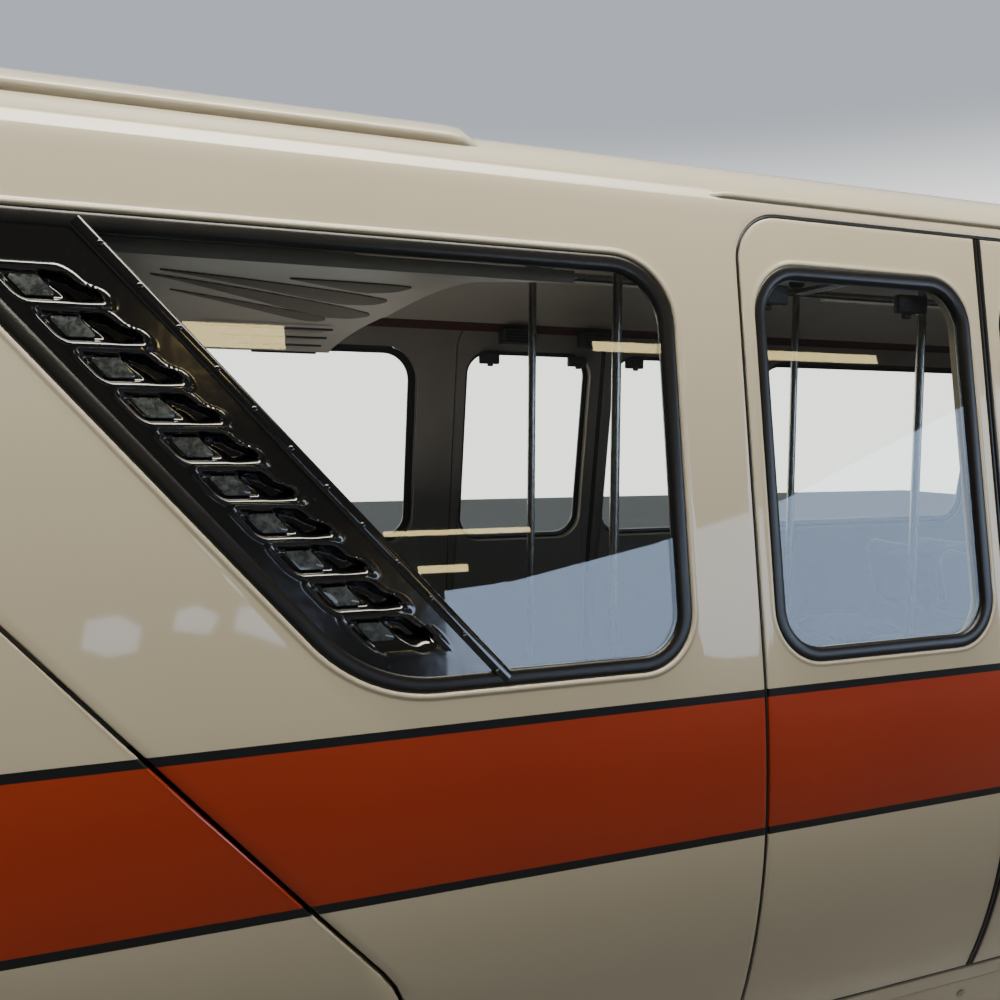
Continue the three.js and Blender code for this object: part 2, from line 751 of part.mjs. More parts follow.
// A guide tyre with its hub, turned about Z. The profile is [radius, z].
function guideWheel() {
  const half = guideThick / 2;
  const profile = [
    [0, -half + 20],
    [guideRadius - 25, -half],
    [guideRadius, -half + 30],
    [guideRadius, half - 30],
    [guideRadius - 25, half],
    [90, half - 10],
    [70, half + hubRise],
    [0, half + hubRise],
  ];
  const lathe = new THREE.LatheGeometry(profile.map(([r, z]) => new THREE.Vector2(r, z)), 16);
  return lathe.rotateX(Math.PI / 2);
}

function addBogies() {
  for (const [name, { x, inboard }] of Object.entries(bogies)) {
    const bogie = new THREE.Group();
    bogie.position.x = x;
    car.add(bogie);
    addMesh(`${name}_bogie_frame`, geometryOf(bogieFrame(inboard)), 'iron', bogie);
    const wheels = addMesh(`${name}_load_wheels`, geometryOf(solidOf(loadWheels())), 'rubber', bogie);
    wheels.position.z = loadRadius;
    for (const [sideName, side] of Object.entries(sides)) {
      const places = {
        guide_wheel_1: [-guideReach, upperGuideZ],
        guide_wheel_2: [guideReach, upperGuideZ],
        lower_wheel: [0, lowerGuideZ],
      };
      for (const [place, [along, z]] of Object.entries(places)) {
        const wheel = addMesh(`${name}_${sideName}_${place}`, geometryOf(solidOf(guideWheel())), 'rubber', bogie);
        wheel.position.set(along, side * guideSide, z);
      }
    }
  }
}

for (const [name, side] of Object.entries(sides)) {
  addSideWall(name, side);
  addSideGlass(name, side);
  addLouvrePanel(name, side);
  addDoorLeaves(name, side);
  addCabDoor(name, side);
}
addRoof();
addNose();
addFloor();
addSkirts();
addEnd();
addCabWall();
addBenches();
addCabDesk();
addPoles();
addBogies();

export default car;
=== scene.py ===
"""The looks of a straddle monorail end car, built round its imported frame.

Metres. +Z is up, the nose points to -X, the left side is -Y, and the origin is on the beam's top.
"""

import math

import bmesh
import bpy
import numpy as np
from mathutils import Matrix, Vector


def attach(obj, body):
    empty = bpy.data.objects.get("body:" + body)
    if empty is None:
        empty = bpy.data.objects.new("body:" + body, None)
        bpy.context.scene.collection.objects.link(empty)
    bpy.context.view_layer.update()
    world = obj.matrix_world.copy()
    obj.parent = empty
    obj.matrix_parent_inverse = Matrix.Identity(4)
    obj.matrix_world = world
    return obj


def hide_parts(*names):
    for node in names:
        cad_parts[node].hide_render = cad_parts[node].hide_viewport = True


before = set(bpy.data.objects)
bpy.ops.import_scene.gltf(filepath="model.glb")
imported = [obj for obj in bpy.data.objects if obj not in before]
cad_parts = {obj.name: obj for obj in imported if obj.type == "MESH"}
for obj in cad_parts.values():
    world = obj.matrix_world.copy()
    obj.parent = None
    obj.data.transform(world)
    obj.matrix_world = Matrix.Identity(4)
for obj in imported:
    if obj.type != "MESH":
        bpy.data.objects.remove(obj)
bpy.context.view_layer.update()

# The camera stands, looks and is tilted as the photo's own, solved from the car's parallel lines.
EYE, LENS, SENSOR = (-2.435, -3.0196, 1.930), 32.475, 36.0
LOOK_REAR, LOOK_DOWN, TILT = 0.3549, 0.0733, 0.0052


def place_camera():
    ahead = Vector((
        math.sin(LOOK_REAR) * math.cos(LOOK_DOWN),
        math.cos(LOOK_REAR) * math.cos(LOOK_DOWN),
        -math.sin(LOOK_DOWN),
    ))
    level = Vector((math.cos(LOOK_REAR), -math.sin(LOOK_REAR), 0.0))
    upright = level.cross(ahead)
    right = level * math.cos(TILT) + upright * math.sin(TILT)
    up = upright * math.cos(TILT) - level * math.sin(TILT)
    lens = bpy.data.cameras.new("photo_camera")
    lens.lens, lens.sensor_width, lens.sensor_height = LENS, SENSOR, SENSOR
    lens.clip_start, lens.clip_end = 0.05, 200.0
    camera = bpy.data.objects.new("photo_camera", lens)
    turn = Matrix((right, up, -ahead)).transposed().to_4x4()
    camera.matrix_world = Matrix.Translation(EYE) @ turn
    bpy.context.scene.collection.objects.link(camera)
    bpy.context.scene.camera = camera


place_camera()

# The body's section, its panels' edges and its lengths, as in the part's source.
NOSE_TIP, NOSE_JOINT, BODY_END, COVER_END = -5.485, -3.628, 5.285, 5.485
ROOF_TOP, ROOF_JOINT, WIDEST_Z, FLOOR_TOP = 2.770, 2.495, 1.048, 0.440
FLOOR_UNDER, SILL_UNDER, SKIRT_FOOT = 0.340, 0.400, -0.600
HALF_WIDTH, HALF_FLOOR = 1.320, 1.203
WAIST_R, SHOULDER_R, ROOF_R = 2.400, 0.175, 3.160
SIDE_LEAN, FOOT_LEAN = math.radians(8.81), math.radians(6)
WALL, LEAF_WALL, SKIRT_WALL, NOSE_WALL = 0.070, 0.060, 0.040, 0.060
SEAM = 0.008
BUMPER_Z = 0.600
NOSE_CROWN = 0.030
STATIONS = np.array([
    # x, width as a share, top, foot
    (NOSE_TIP, 0.34, 0.880, 0.190),
    (-5.455, 0.43, 1.010, 0.040),
    (-5.390, 0.53, 1.150, -0.140),
    (-5.260, 0.65, 1.290, -0.340),
    (-5.080, 0.75, 1.430, -0.480),
    (-4.880, 0.825, 1.600, -0.560),
    (-4.600, 0.893, 1.850, -0.590),
    (-4.200, 0.95, 2.210, SKIRT_FOOT),
    (-3.800, 0.984, 2.545, SKIRT_FOOT),
    (-3.560, 0.996, 2.720, SKIRT_FOOT),
    (-3.300, 1.0, ROOF_TOP, SKIRT_FOOT),
    (BODY_END, 1.0, ROOF_TOP, SKIRT_FOOT),
])
SIDES = {"left": -1, "right": 1}

# Openings in the sides: x, z and radius of each corner, from the front top round by the rear.
DOORS = {"door_1": -0.359, "door_2": 3.182}
DOOR_HALF, DOOR_TOP, DOOR_FOOT = 0.779, 2.472, 0.450
WINDOW_TOP, WINDOW_FOOT = 2.340, 1.404
SLANT = 0.8825
FRONT_WINDOW = (
    (-2.903, WINDOW_TOP, 0.060),
    (-1.319, WINDOW_TOP, 0.160),
    (-1.319, WINDOW_FOOT, 0.130),
    (-2.077, WINDOW_FOOT, 0.339),
)
SPLIT = ((-2.600, WINDOW_TOP), (-1.755, WINDOW_FOOT))
CAB_EDGE = (-2.703, 1.584)
CAB_DOOR_FRONT, CAB_DOOR_TOP = NOSE_JOINT + SEAM, 2.250
CAB_TAPER = 0.15
CAB_POST = 0.233
BOGIES = {"front": (-2.635, 1), "rear": (4.600, -1)}
STRIPE = (0.998, 1.340)
PINSTRIPE = 0.0185


# Surfaces

def arc(y, z, radius, start, end, steps):
    """Points (y, z) on a circle about (y, z), at even angles from start to end."""
    a = np.linspace(start, end, steps + 1)
    return np.stack([y + radius * np.cos(a), z + radius * np.sin(a)], axis=1)


def half_section():
    """Right half of the body's section from foot to crown: a hollow skirt arc, the belly arc, the
    waist arc, a straight leaning side, the shoulder arc and the roof arc, each tangent to the next."""
    drop, tuck = WIDEST_Z - FLOOR_TOP, HALF_WIDTH - HALF_FLOOR
    belly_r = (drop * drop + tuck * tuck) / (2 * tuck)
    belly_lean = math.asin(drop / belly_r)
    skirt_r = (FLOOR_TOP - SKIRT_FOOT) / (math.sin(belly_lean) - math.sin(FOOT_LEAN))
    skirt_y = HALF_FLOOR + skirt_r * math.cos(belly_lean)
    skirt_z = FLOOR_TOP - skirt_r * math.sin(belly_lean)
    out = np.array([math.cos(SIDE_LEAN), math.sin(SIDE_LEAN)])
    up = np.array([-out[1], out[0]])
    waist = np.array([HALF_WIDTH - WAIST_R, WIDEST_Z])
    roof = np.array([0.0, ROOF_TOP - ROOF_R])
    offset = out * (out @ waist + WAIST_R - SHOULDER_R) - roof
    rise = math.sqrt((offset @ up) ** 2 - offset @ offset + (ROOF_R - SHOULDER_R) ** 2) - offset @ up
    shoulder = offset + roof + up * rise
    roof_start = math.atan2(shoulder[1] - roof[1], shoulder[0])
    waist_arc = arc(*waist, WAIST_R, 0, SIDE_LEAN, 60)
    shoulder_arc = arc(*shoulder, SHOULDER_R, SIDE_LEAN, roof_start, 60)
    share = np.linspace(0, 1, 61)[1:-1, None]
    return np.concatenate([
        arc(skirt_y, skirt_z, skirt_r, math.pi - FOOT_LEAN, math.pi - belly_lean, 90)[:-1],
        arc(HALF_WIDTH - belly_r, WIDEST_Z, belly_r, -belly_lean, 0, 60)[:-1],
        waist_arc,
        waist_arc[-1] * (1 - share) + shoulder_arc[0] * share,
        shoulder_arc[:-1],
        arc(*roof, ROOF_R, roof_start, math.pi / 2, 90),
    ])


SECTION = half_section()
SECTION_RUN = np.concatenate([[0], np.cumsum(np.hypot(*np.diff(SECTION, axis=0).T))])
SECTION_GIRTH = SECTION_RUN[-1]
SECTION_RUN /= SECTION_GIRTH
_way = np.gradient(SECTION, SECTION_RUN, axis=0)
SECTION_OUT = np.stack([_way[:, 1], -_way[:, 0]], axis=1)
SECTION_OUT /= np.hypot(*SECTION_OUT.T)[:, None]


def eased(values):
    """A smooth monotone curve through the stations: cubic Hermite, whose slope at a station is the
    weighted harmonic mean of the slopes beside it, or 0 where they differ in sign."""
    xs = STATIONS[:, 0]
    h, d = np.diff(xs), np.diff(values) / np.diff(xs)
    near, beyond = 2 * h[1:] + h[:-1], h[1:] + 2 * h[:-1]
    level = d[:-1] * d[1:] <= 0
    safe = [np.where(level, 1.0, part) for part in (d[:-1], d[1:])]
    inner = np.where(level, 0.0, (near + beyond) / (near / safe[0] + beyond / safe[1]))
    slope = np.concatenate([[d[0]], inner, [d[-1]]])

    def curve(x):
        x = np.clip(x, xs[0], xs[-1])
        i = np.clip(np.searchsorted(xs, x, side="right") - 1, 0, len(h) - 1)
        t = (x - xs[i]) / h[i]
        ends = values[i] * (1 + 2 * t) * (1 - t) ** 2 + values[i + 1] * t * t * (3 - 2 * t)
        return ends + h[i] * (slope[i] * t * (1 - t) ** 2 + slope[i + 1] * t * t * (t - 1))

    return curve


width_at, top_at, foot_at = (eased(STATIONS[:, k]) for k in (1, 2, 3))


def stretched(x, z0):
    """Height of the section's height z0 at x: stretched above and below the bumper line."""
    above = BUMPER_Z + (z0 - BUMPER_Z) * (top_at(x) - BUMPER_Z) / (ROOF_TOP - BUMPER_Z)
    below = BUMPER_Z - (BUMPER_Z - z0) * (BUMPER_Z - foot_at(x)) / (BUMPER_Z - SKIRT_FOOT)
    return np.where(z0 > BUMPER_Z, above, below)


def unstretched(x, z):
    """The inverse of stretched()."""
    above = BUMPER_Z + (z - BUMPER_Z) * (ROOF_TOP - BUMPER_Z) / (top_at(x) - BUMPER_Z)
    below = BUMPER_Z - (BUMPER_Z - z) * (BUMPER_Z - SKIRT_FOOT) / (BUMPER_Z - foot_at(x))
    return np.where(z > BUMPER_Z, above, below)


def outward(x, run):
    """Unit normal (x, y, z) of the right side at x and share run of the section: the gradient of
    the section's own distance, carried through the width and the stretch at x."""
    ny, nz = (np.interp(run, SECTION_RUN, SECTION_OUT[:, k]) for k in (0, 1))
    y0, z0 = (np.interp(run, SECTION_RUN, SECTION[:, k]) for k in (0, 1))
    step = 1e-3
    width = width_at(x)
    narrowing = (width_at(x + step) - width_at(x - step)) / (2 * step)
    rising = (stretched(x + step, z0) - stretched(x - step, z0)) / (2 * step)
    tall = (stretched(x, z0 + step) - stretched(x, z0 - step)) / (2 * step)
    gy, gz = ny / width, nz / tall
    normal = np.stack([-gy * y0 * narrowing - gz * rising, gy, gz], axis=-1)
    return normal / np.linalg.norm(normal, axis=-1, keepdims=True)


def hull(x, run, side, depth=0.0):
    """The outer form at x and share run of the section (0 foot, 1 crown), moved in by depth."""
    x, run, depth = np.broadcast_arrays(*(np.asarray(v, float) for v in (x, run, depth)))
    y = np.interp(run, SECTION_RUN, SECTION[:, 0]) * width_at(x)
    z = stretched(x, np.interp(run, SECTION_RUN, SECTION[:, 1]))
    points = np.stack([x, y, z], axis=-1) - outward(x, run) * depth[..., None]
    points[..., 1] *= side
    return points


def run_at(x, z):
    """Share of the section where the side is at height z."""
    return np.interp(unstretched(x, z), SECTION[:, 1], SECTION_RUN)


def skin(xz, side, depth=0.0):
    """The side's outer form over side-view points (x, z), moved in by depth."""
    return hull(xz[..., 0], run_at(xz[..., 0], xz[..., 1]), side, depth)


# Side-view outlines

TURN = 12


def loop(corners, spans):
    """A convex outline of rounded corners (x, z, radius) and its outward normals. Each corner is an
    arc of TURN steps, and the straight after it has spans[i] - TURN steps."""
    points = np.array([c[:2] for c in corners])
    radii = np.array([c[2] for c in corners])
    ahead = np.roll(points, -1, axis=0) - points
    ahead /= np.hypot(*ahead.T)[:, None]
    area = np.sum(points[:, 0] * np.roll(points[:, 1], -1) - np.roll(points[:, 0], -1) * points[:, 1])
    turn = math.copysign(1, area)
    out = turn * np.stack([ahead[:, 1], -ahead[:, 0]], axis=1)
    before = np.roll(out, 1, axis=0)
    spread = before[:, 0] * out[:, 1] - before[:, 1] * out[:, 0]
    sweep = np.arctan2(spread, np.sum(before * out, axis=1))
    middle = (before + out) / (1 + np.sum(before * out, axis=1))[:, None]
    centres = points - middle * radii[:, None]
    start = np.arctan2(before[:, 1], before[:, 0])
    pieces, normals = [], []
    for i, span in enumerate(spans):
        angles = start[i] + sweep[i] * np.linspace(0, 1, TURN + 1)
        rounds = np.stack([np.cos(angles), np.sin(angles)], axis=1)
        bend = centres[i] + rounds * radii[i]
        j = (i + 1) % len(spans)
        share = np.linspace(0, 1, span - TURN + 1)[1:-1, None]
        straight = bend[-1] * (1 - share) + (centres[j] + out[i] * radii[j]) * share
        pieces += [bend, straight]
        normals += [rounds, np.repeat(out[i][None], len(straight), axis=0)]
    return np.concatenate(pieces), np.concatenate(normals)


def even_loop(corners, spans):
    """The same count of points, spaced evenly along straight edges between sharp corners."""
    points = np.array([c[:2] for c in corners], float)
    edges = [
        points[i] + (points[(i + 1) % len(points)] - points[i]) * np.arange(n)[:, None] / n
        for i, n in enumerate(spans)
    ]
    return np.roll(np.concatenate(edges), TURN // 2, axis=0)


def window(x0, x1, radius=0.130, top=WINDOW_TOP, foot=WINDOW_FOOT):
    """Corners of an upright window."""
    return ((x0, top, radius), (x1, top, radius), (x1, foot, radius), (x0, foot, radius))


def cab_edge(z):
    """x of the cab door's slanted rear edge."""
    return CAB_EDGE[0] - (z - CAB_EDGE[1]) * SLANT


CENTRE_WINDOW = window(0.605, 2.220)
REAR_WINDOW = window(4.145, 5.015)
CAB_DOOR = (
    (CAB_DOOR_FRONT, CAB_DOOR_TOP, 0.060),
    (cab_edge(CAB_DOOR_TOP), CAB_DOOR_TOP, 0.060),
    (cab_edge(DOOR_FOOT), DOOR_FOOT, 0.235),
    (CAB_DOOR_FRONT, DOOR_FOOT, 0.060),
)
CAB_WINDOW = (
    (CAB_DOOR_FRONT + 0.060, 2.195, 0.050),
    (cab_edge(2.195) - 0.045, 2.195, 0.030),
    (cab_edge(1.610) - 0.045, 1.610, 0.030),
    (CAB_DOOR_FRONT + 0.060, 1.610, 0.050),
)


def doorway(middle, inset=0.0):
    """Corners of a passenger doorway, or of what stands inset within it."""
    x0, x1 = middle - DOOR_HALF + inset, middle + DOOR_HALF - inset
    top, foot = DOOR_TOP - inset, DOOR_FOOT + inset
    return ((x0, top, 0.125), (x1, top, 0.125), (x1, foot, 0.020), (x0, foot, 0.020))


# Meshes

class Shape:
    """Grids of points that become one piece, welded where they meet and turned outwards."""

    def __init__(self):
        self.points, self.faces, self.paints, self.count = [], [], [], 0

    def grid(self, points, wrap=(False, False), paint=0):
        """Adds a grid (rows, columns, 3), closed on itself along the axes that wrap. paint is the
        finish's number, or an array of them that spreads over the grid's faces."""
        rows, columns = points.shape[:2]
        i = np.arange(rows if wrap[0] else rows - 1)[:, None]
        j = np.arange(columns if wrap[1] else columns - 1)[None, :]
        below, beside = (i + 1) % rows, (j + 1) % columns
        corners = (i * columns + j, below * columns + j, below * columns + beside, i * columns + beside)
        quads = np.stack(np.broadcast_arrays(*corners), axis=-1)
        self.faces.append(quads.reshape(-1, 4) + self.count)
        self.paints.append(np.broadcast_to(paint, quads.shape[:2]).reshape(-1))
        self.points.append(points.reshape(-1, 3))
        self.count += rows * columns
        return self

    def slab(self, outer, inner, back=0):
        """Adds an outer and an inner grid, and strips between them along all four edges."""
        self.grid(outer).grid(inner, paint=back)
        for edge in ((0,), (-1,), (slice(None), -1), (slice(None), 0)):
            self.grid(np.stack([outer[edge], inner[edge]]), paint=back)
        return self

    def fan(self, ring):
        """Closes a ring of points with triangles to its middle."""
        middle = np.repeat(ring.mean(axis=0)[None], len(ring), axis=0)
        return self.grid(np.stack([ring, middle]), wrap=(False, True))

    def bar(self, rows):
        """Adds a row of rings, with both of its ends closed."""
        return self.grid(rows, wrap=(False, True)).fan(rows[0]).fan(rows[-1])

    def lens(self, outer, inner):
        """Adds two sets of rings that close on a middle point, joined along their first rings."""
        self.grid(outer, wrap=(False, True)).grid(inner, wrap=(False, True))
        return self.grid(np.stack([outer[0], inner[0]]), wrap=(False, True))

    def make(self, name, finishes, body="root", slot=None, replaces=None, sharp=32, weld=2e-5):
        """Makes the piece, which rides on body and stands for the CAD node named."""
        mesh = bpy.data.meshes.new(name)
        points = np.concatenate(self.points)
        faces = np.concatenate(self.faces)
        mesh.vertices.add(len(points))
        mesh.vertices.foreach_set("co", points.astype(np.float32).ravel())
        mesh.loops.add(faces.size)
        mesh.loops.foreach_set("vertex_index", faces.astype(np.int32).ravel())
        mesh.polygons.add(len(faces))
        mesh.polygons.foreach_set("loop_start", np.arange(0, faces.size, 4, dtype=np.int32))
        mesh.polygons.foreach_set("material_index", np.concatenate(self.paints).astype(np.int32))
        mesh.update()
        edit = bmesh.new()
        edit.from_mesh(mesh)
        bmesh.ops.remove_doubles(edit, verts=edit.verts, dist=weld)
        bmesh.ops.dissolve_degenerate(edit, edges=edit.edges, dist=weld / 2)
        bmesh.ops.recalc_face_normals(edit, faces=edit.faces)
        edit.to_mesh(mesh)
        edit.free()
        mesh.validate()
        mesh.shade_smooth()
        mesh.set_sharp_from_angle(angle=math.radians(sharp))
        for finish in finishes if isinstance(finishes, list) else [finishes]:
            mesh.materials.append(finish)
        piece = bpy.data.objects.new(name, mesh)
        bpy.context.scene.collection.objects.link(piece)
        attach(piece, body)
        if replaces:
            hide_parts(replaces)
        return piece


def circle(count):
    """Cosines and sines of evenly spaced angles all the way round."""
    angles = np.linspace(0, 2 * math.pi, count, endpoint=False)
    return np.cos(angles), np.sin(angles)


def block(shape, xs, ys, zs, bevel):
    """A box with rounded edges: a square section of four corner arcs carried along x, pulled in by
    the bevel at both ends."""
    mid = np.array([(a + b) / 2 for a, b in (xs, ys, zs)])
    half = np.array([abs(b - a) / 2 for a, b in (xs, ys, zs)])
    bevel = min(bevel, half.min() * 0.95)
    angles = (np.arange(4)[:, None] * math.pi / 2 + np.linspace(0, math.pi / 2, 4)).ravel()
    corners = (half[1:] - bevel) * np.repeat([[1, 1], [-1, 1], [-1, -1], [1, -1]], 4, axis=0)
    arcs = np.stack([np.cos(angles), np.sin(angles)], axis=1)
    pulled = bevel * np.array([1.0, 0.3, 0.0])
    near = bevel * np.array([0.0, 0.3, 1.0]) - half[0]
    rows = []
    for along, inset in zip((*near, *-near[::-1]), (*pulled, *pulled[::-1])):
        rows.append(np.insert(corners + (bevel - inset) * arcs, 0, along, axis=1) + mid)
    shape.bar(np.stack(rows))


def turned(shape, profile, centre, axis, steps):
    """A profile of (radius, height) turned about the axis named, through centre."""
    radius, height = np.array(profile, float).T[:, :, None]
    x, y = (radius * way for way in circle(steps))
    height = np.broadcast_to(height, x.shape)
    order = {"z": (x, y, height), "y": (x, height, y), "x": (height, x, y)}[axis]
    return shape.grid(np.stack(order, axis=-1) + np.array(centre), wrap=(False, True))


def tube(shape, path, radius, sides):
    """A round bar along a path: at each point a circle square to the path, on axes that turn as
    little as they can from one point to the next."""
    path = np.array(path, float)
    way = np.gradient(path, axis=0)
    way /= np.linalg.norm(way, axis=1, keepdims=True)
    side = np.cross(way[0], [0, 0, 1] if abs(way[0][2]) < 0.9 else [1, 0, 0])
    cosine, sine = (part[:, None] for part in circle(sides))
    rows = []
    for point, ahead in zip(path, way):
        side = side - ahead * (side @ ahead)
        side /= np.linalg.norm(side)
        rows.append(point + radius * (cosine * side + sine * np.cross(ahead, side)))
    shape.bar(np.stack(rows))


def stud(shape, centre, normal, radius, height, sides=16):
    """A low round head on a surface: rings about the normal, with a slight dome."""
    normal = normal / np.linalg.norm(normal)
    first = np.cross(normal, [0, 0, 1] if abs(normal[2]) < 0.9 else [1, 0, 0])
    first /= np.linalg.norm(first)
    cosine, sine = (part[:, None] for part in circle(sides))
    ring = cosine * first + sine * np.cross(normal, first)
    steps = ((1, -1), (1, 0.6), (0.86, 1), (0.4, 1.15), (0, 1.2))
    rows = np.stack([centre + ring * (radius * r) + normal * (height * h) for r, h in steps])
    shape.grid(rows, wrap=(False, True)).fan(rows[0])


# Finishes

class Value:
    """A socket of a material. Python's operators on it build Math nodes."""

    def __init__(self, finish, socket):
        self.finish, self.socket = finish, socket

    def math(self, operation, *others):
        inputs = dict(enumerate((self, *others)))
        return self.finish.node("ShaderNodeMath", {"operation": operation}, inputs)

    def __add__(self, other):
        return self.math("ADD", other)

    def __sub__(self, other):
        return self.math("SUBTRACT", other)

    def __rsub__(self, other):
        return self.math("MULTIPLY_ADD", -1.0, other)

    def __mul__(self, other):
        return self.math("MULTIPLY", other)

    __radd__, __rmul__ = __add__, __mul__

    def step(self, low, high):
        """0 at low, 1 at high, eased between."""
        settings = {"interpolation_type": "SMOOTHSTEP"}
        return self.finish.node("ShaderNodeMapRange", settings, {0: self, 1: low, 2: high, 3: 0.0, 4: 1.0})


class Finish:
    """A material round one Principled shader, with the values that are the same all over set on it."""

    def __init__(self, name, **sockets):
        self.material = bpy.data.materials.new(name)
        self.material.use_nodes = True
        self.tree = self.material.node_tree
        self.shader = self.tree.nodes["Principled BSDF"]
        self.output = self.tree.nodes["Material Output"]
        for key, value in sockets.items():
            self.set(key.replace("_", " ").title().replace("Ior", "IOR"), value)

    def put(self, socket, value):
        if isinstance(value, Value):
            self.tree.links.new(value.socket, socket)
        else:
            socket.default_value = value

    def set(self, name, value):
        if isinstance(value, tuple) and len(value) == 3:
            value = (*value, 1.0)
        self.put(self.shader.inputs[name], value)

    def node(self, kind, settings=None, sockets=None, output=0):
        made = self.tree.nodes.new(kind)
        for key, value in (settings or {}).items():
            setattr(made, key, value)
        for key, value in (sockets or {}).items():
            if isinstance(value, tuple) and len(value) == 3 and made.inputs[key].type == "RGBA":
                value = (*value, 1.0)
            self.put(made.inputs[key], value)
        return Value(self, made.outputs[output])

    def place(self, scale=(1.0, 1.0, 1.0)):
        """The point on the object, in metres, stretched by scale."""
        at = self.node("ShaderNodeTexCoord", output="Object")
        return self.node("ShaderNodeVectorMath", {"operation": "MULTIPLY"}, {0: at, 1: scale})

    def axis(self, letter):
        at = self.node("ShaderNodeTexCoord", output="Object")
        return self.node("ShaderNodeSeparateXYZ", None, {0: at}, output=letter.upper())

    def noise(self, scale, detail=3.0, stretch=(1.0, 1.0, 1.0), roughness=0.55):
        sockets = {"Vector": self.place(stretch), "Scale": scale, "Detail": detail, "Roughness": roughness}
        return self.node("ShaderNodeTexNoise", None, sockets)

    def mix(self, factor, a, b):
        """Colour a where factor is 0 and b where it is 1."""
        return self.node("ShaderNodeMix", {"data_type": "RGBA"}, {0: factor, 6: a, 7: b}, output=2)

    def bump(self, height, distance, strength=1.0):
        sockets = {"Height": height, "Distance": distance, "Strength": strength}
        self.set("Normal", self.node("ShaderNodeBump", None, sockets))
        return self


CREAM = (0.56, 0.50, 0.38)
ORANGE = (0.37, 0.035, 0.0028)
BLACK = (0.006, 0.006, 0.007)


def body_paint():
    """Cream gloss paint with the orange-red waist stripe between two black lines. A little dust lies
    on flat tops and low down, and the clear coat has the faint orange peel of sprayed paint."""
    f = Finish("body_paint", coat_weight=1.0, coat_roughness=0.04, coat_ior=1.5, specular_ior_level=0.12)
    z = f.axis("z")
    cloud = f.noise(0.9, 4.0)
    fine = f.noise(9.0, 5.0)
    cream = f.mix(cloud.step(0.35, 0.7), CREAM, tuple(c * k for c, k in zip(CREAM, (0.95, 0.945, 0.93))))
    grime = (1 - z.step(-0.6, 0.35)) * fine.step(0.3, 0.8) * 0.35
    cream = f.mix(grime, cream, (0.23, 0.20, 0.155))
    orange = f.mix(cloud.step(0.3, 0.75), ORANGE, (0.32, 0.029, 0.0024))
    soft = 0.0008
    band = z.step(STRIPE[0], STRIPE[0] + soft) * (1 - z.step(STRIPE[1], STRIPE[1] + soft))
    inside = z.step(STRIPE[0] + PINSTRIPE, STRIPE[0] + PINSTRIPE + soft)
    inside = inside * (1 - z.step(STRIPE[1] - PINSTRIPE, STRIPE[1] - PINSTRIPE + soft))
    streak = f.noise(2.5, 6.0, (2.5, 0.35, 0.35))
    weather = streak.step(0.45, 0.8) * z.step(2.66, 2.77)
    cream = f.mix(weather * 0.45, cream, (0.33, 0.30, 0.245))
    f.set("Base Color", f.mix(band, cream, f.mix(inside, BLACK, orange)))
    f.set("Roughness", 0.26 + fine * 0.12 + grime * 0.5 + weather * 0.2)
    peel = f.noise(55.0, 2.0) * 0.6 + f.noise(2.2, 2.0) * 7.0
    return f.bump(peel, 0.00022).material


def gloss_black():
    """Gloss black moulding with faint swirl marks and dust."""
    f = Finish("gloss_black", coat_weight=1.0, coat_roughness=0.03)
    dust = f.noise(120.0, 4.0).step(0.62, 0.78) * f.noise(6.0, 3.0)
    f.set("Base Color", f.mix(dust * 0.1, (0.005, 0.005, 0.0055), (0.12, 0.11, 0.10)))
    f.set("Roughness", 0.14 + dust * 0.35)
    return f.bump(f.noise(14.0, 2.0), 0.0007).material


def rubber(name, colour, roughness, grain=260.0, dusty=1.0):
    """Black rubber: fine moulded grain, paler where dust stays."""
    f = Finish(name)
    f.set("Specular IOR Level", 0.45)
    dust = f.noise(22.0, 5.0).step(0.45, 0.8)
    f.set("Base Color", f.mix(dust * (0.3 * dusty), colour, tuple(c * 2.6 for c in colour)))
    f.set("Roughness", roughness + dust * (0.15 * dusty))
    return f.bump(f.noise(grain, 3.0), 0.0003).material


def glass(name, tint):
    """Window glass as a thin tinted film: clear behind, with a share of sharp reflection that grows
    with the fifth power of the slant."""
    f = Finish(name)
    clear = f.node("ShaderNodeBsdfTransparent", None, {"Color": tint})
    shine = f.node("ShaderNodeBsdfGlossy", None, {"Color": (0.92, 0.96, 1.0), "Roughness": 0.012})
    slant = f.node("ShaderNodeLayerWeight", None, {"Blend": 0.5}, output="Facing")
    share = slant.math("POWER", 5.0) * 0.95 + 0.045
    out = f.node("ShaderNodeMixShader", None, {0: share, 1: clear, 2: shine})
    f.tree.links.new(out.socket, f.output.inputs["Surface"])
    return f.material


def panel(name, colour, shade, roughness=0.55, grain=90.0, depth=0.0005):
    """A moulded interior panel: leather-like grain and slow changes of tone."""
    f = Finish(name)
    f.set("Base Color", f.mix(f.noise(1.6, 4.0).step(0.35, 0.7), colour, shade))
    f.set("Roughness", roughness + f.noise(12.0, 3.0) * 0.12)
    settings = {"feature": "DISTANCE_TO_EDGE"}
    cells = f.node("ShaderNodeTexVoronoi", settings, {"Vector": f.place(), "Scale": grain})
    return f.bump(cells.step(0.0, 0.12), depth).material


def metal(name, colour, roughness):
    """Brushed metal: fine scratches along one axis."""
    f = Finish(name, metallic=1.0)
    brush = f.noise(900.0, 2.0, (1.0, 1.0, 0.02))
    f.set("Base Color", f.mix(brush, colour, tuple(c * 0.82 for c in colour)))
    f.set("Roughness", roughness + brush * 0.14)
    return f.bump(brush, 0.00008).material


